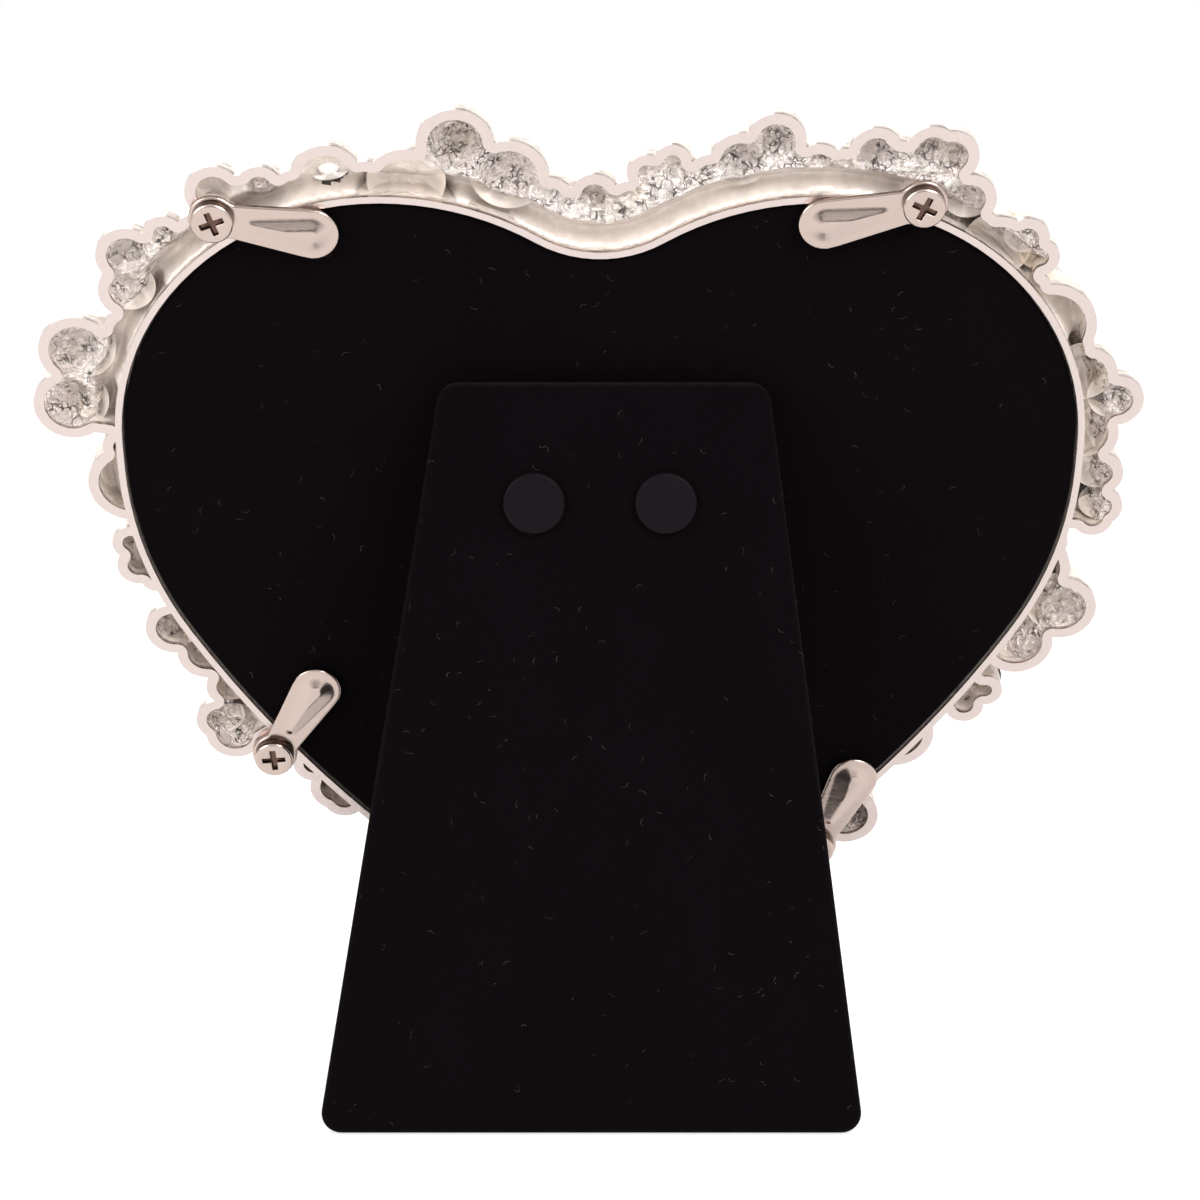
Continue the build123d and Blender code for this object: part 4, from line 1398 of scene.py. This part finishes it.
class FRAME_OT_velvet(bpy.types.Operator):
    """Cover the backing and the easel with velvet"""

    bl_idname = "heart_frame.velvet"
    bl_label = "Velvet"

    def execute(self, context):
        settings = context.scene.heart_frame
        backing = make_backing(velvet("backing velvet", settings))
        easel = make_easel(velvet("easel velvet", settings, 1.1))
        strands = lint("lint")
        make_lint(settings, backing, "backing_lint", "frame", 26000.0, 11, strands)
        make_lint(settings, easel, "easel_lint", "easel", 30000.0, 29, strands)
        return {"FINISHED"}


class FRAME_OT_fittings(bpy.types.Operator):
    """Finish the turn buttons, screws, hinge and rivets"""

    bl_idname = "heart_frame.fittings"
    bl_label = "Fittings"

    def execute(self, context):
        settings = context.scene.heart_frame
        plate = nickel("satin nickel", settings)
        for node in BUTTONS:
            make_button(settings, node, plate)
        # The screws' nickel carries painted shade below 2 mm
        softened("turn_button_screws", nickel("screw nickel", settings, 2.0), settings.screw_round)
        softened("easel_rivets", enamel("black enamel"), settings.screw_round)
        for name in ("hinge_fixed_leaf", "hinge_moving_leaf", "hinge_pin", "backing_rivets"):
            finish_node(name, plate)
        return {"FINISHED"}


# What the lamps and the flags face, and the floor's size, in metres
AIM = Vector((0, 0, 0.06))
FLOOR_SIZE = 6.0
# Camera: focal length and distance, height of its aim up the frame in mm, and its rise
CAMERA_LENS = 96.0
CAMERA_DISTANCE = 0.390
CAMERA_AIM = 64.5
CAMERA_RISE = math.radians(18.0)


def by_ray(tree, seen, plain):
    """Shader that camera, mirror and glass rays see, over one for the rest."""
    path = tree.node("ShaderNodeLightPath")
    total = path.outputs["Is Camera Ray"]
    for label in ("Is Glossy Ray", "Is Transmission Ray"):
        total = tree.math("ADD", total, path.outputs[label], use_clamp=True)
    return tree.node("ShaderNodeMixShader", {0: total, 1: plain, 2: seen})


def card(name, width, height, material, place=(0, 0, 0), turn=None):
    """Flat card round a place, which isn't part of the object."""
    signs = ((-1, -1), (1, -1), (1, 1), (-1, 1))
    corners = [Vector((x * width, y * height, 0)) / 2 for x, y in signs]
    corners = [Vector(place) + (turn @ corner if turn else corner) for corner in corners]
    made = new_piece(name, corners, [(0, 1, 2, 3)], material)
    return made


def make_floor():
    """Pale floor that keeps the object's shadow and fades to white."""
    material = bpy.data.materials.new("pale floor")
    material.use_nodes = True
    tree = Tree(material.node_tree)
    matt = tree.node("ShaderNodeBsdfDiffuse", {"Color": (0.42, 0.42, 0.42, 1)})
    glow = tree.node("ShaderNodeEmission", {"Strength": 0.6})
    lifted = tree.node("ShaderNodeAddShader", {0: matt, 1: glow})
    place = tree.node("ShaderNodeTexCoord").outputs["Object"]
    away = tree.node("ShaderNodeVectorMath", {0: place}, operation="LENGTH").outputs["Value"]
    far = tree.node("ShaderNodeMapRange", {"Value": away, "From Min": 0.30, "From Max": 0.55})
    seen = tree.node("ShaderNodeMixShader", {0: far, 1: lifted, 2: tree.node("ShaderNodeEmission")})
    plain = tree.node("ShaderNodeBsdfDiffuse", {"Color": (0.8, 0.8, 0.8, 1)})
    tree.node("ShaderNodeOutputMaterial", {"Surface": by_ray(tree, seen, plain)})
    card("floor", FLOOR_SIZE, FLOOR_SIZE, material)


def make_flag(name, place, width, height):
    """Dark card that only mirrors see, to give the metal its contrast."""
    r = Recipe(name)
    r.set(Base_Color=(0.02, 0.02, 0.02, 1), Roughness=1.0)
    turn = (AIM - Vector(place)).to_track_quat("-Z", "Y")
    flag = card(name, width, height, r.material, place, turn)
    flag.visible_camera = False
    flag.visible_diffuse = False
    flag.visible_shadow = False
    flag.visible_transmission = False


def make_lamp(name, place, size, power):
    """Soft area lamp."""
    data = bpy.data.lights.new(name, "AREA")
    data.shape = "SQUARE"
    data.size = size
    data.energy = power
    lamp = add_object(name, data)
    lamp.location = place
    lamp.rotation_mode = "QUATERNION"
    lamp.rotation_quaternion = (AIM - Vector(place)).to_track_quat("-Z", "Y")


def make_world():
    """Even studio surround, white wherever it is seen."""
    world = bpy.data.worlds.new("studio")
    bpy.context.scene.world = world
    world.use_nodes = True
    tree = Tree(world.node_tree)
    white = tree.node("ShaderNodeBackground", {"Color": (1, 1, 1, 1)})
    soft = tree.node("ShaderNodeBackground", {"Color": (1.0, 0.97, 0.95, 1), "Strength": 1.2})
    tree.node("ShaderNodeOutputWorld", {"Surface": by_ray(tree, white, soft)})


def make_camera():
    """Camera behind the frame and above it, as for the photograph."""
    data = bpy.data.cameras.new("camera")
    data.lens = CAMERA_LENS
    data.sensor_width = 36.0
    data.clip_start = 0.01
    data.clip_end = 50.0
    camera = add_object("camera", data)
    away = Vector((0, math.cos(CAMERA_RISE), math.sin(CAMERA_RISE)))
    camera.location = on_frame(0, CAMERA_AIM, 0) + away * CAMERA_DISTANCE
    camera.rotation_mode = "QUATERNION"
    camera.rotation_quaternion = (-away).to_track_quat("-Z", "Y")
    bpy.context.scene.camera = camera


class FRAME_OT_stage(bpy.types.Operator):
    """Set the floor, the lamps, the surround and the camera"""

    bl_idname = "heart_frame.stage"
    bl_label = "Stage"

    def execute(self, context):
        scene = context.scene
        scene.view_settings.view_transform = "Standard"
        make_camera()
        make_floor()
        make_world()
        make_flag("low flag", (0, 1.10, 0.10), 1.2, 0.14)
        make_flag("camera flag", (0.1, 1.10, 0.52), 0.5, 0.16)
        make_lamp("key", (-0.45, 0.55, 0.70), 0.45, 7.0)
        make_lamp("fill", (0.60, 0.35, 0.40), 0.50, 3.5)
        make_lamp("front", (0.30, -0.60, 0.55), 0.50, 3.0)
        return {"FINISHED"}


class FRAME_PT_panel(bpy.types.Panel):
    """Buttons for each group of the frame's pieces"""

    bl_label = "Heart Frame"
    bl_idname = "FRAME_PT_panel"
    bl_space_type = "VIEW_3D"
    bl_region_type = "UI"
    bl_category = "Frame"

    def draw(self, context):
        settings = context.scene.heart_frame
        for name in FrameSettings.__annotations__:
            self.layout.prop(settings, name)
        for operator in OPERATORS:
            self.layout.operator(operator.bl_idname)


OPERATORS = (
    FRAME_OT_casting,
    FRAME_OT_ornaments,
    FRAME_OT_stones,
    FRAME_OT_window,
    FRAME_OT_velvet,
    FRAME_OT_fittings,
    FRAME_OT_stage,
)


def register():
    for entry in (FrameSettings, *OPERATORS, FRAME_PT_panel):
        bpy.utils.register_class(entry)
    bpy.types.Scene.heart_frame = bpy.props.PointerProperty(type=FrameSettings)


def unregister():
    del bpy.types.Scene.heart_frame
    for entry in reversed((FrameSettings, *OPERATORS, FRAME_PT_panel)):
        bpy.utils.unregister_class(entry)


def main():
    register()
    bpy.ops.heart_frame.casting()
    bpy.ops.heart_frame.ornaments()
    bpy.ops.heart_frame.stones()
    bpy.ops.heart_frame.window()
    bpy.ops.heart_frame.velvet()
    bpy.ops.heart_frame.fittings()
    bpy.ops.heart_frame.stage()


if __name__ == "__main__":
    main()
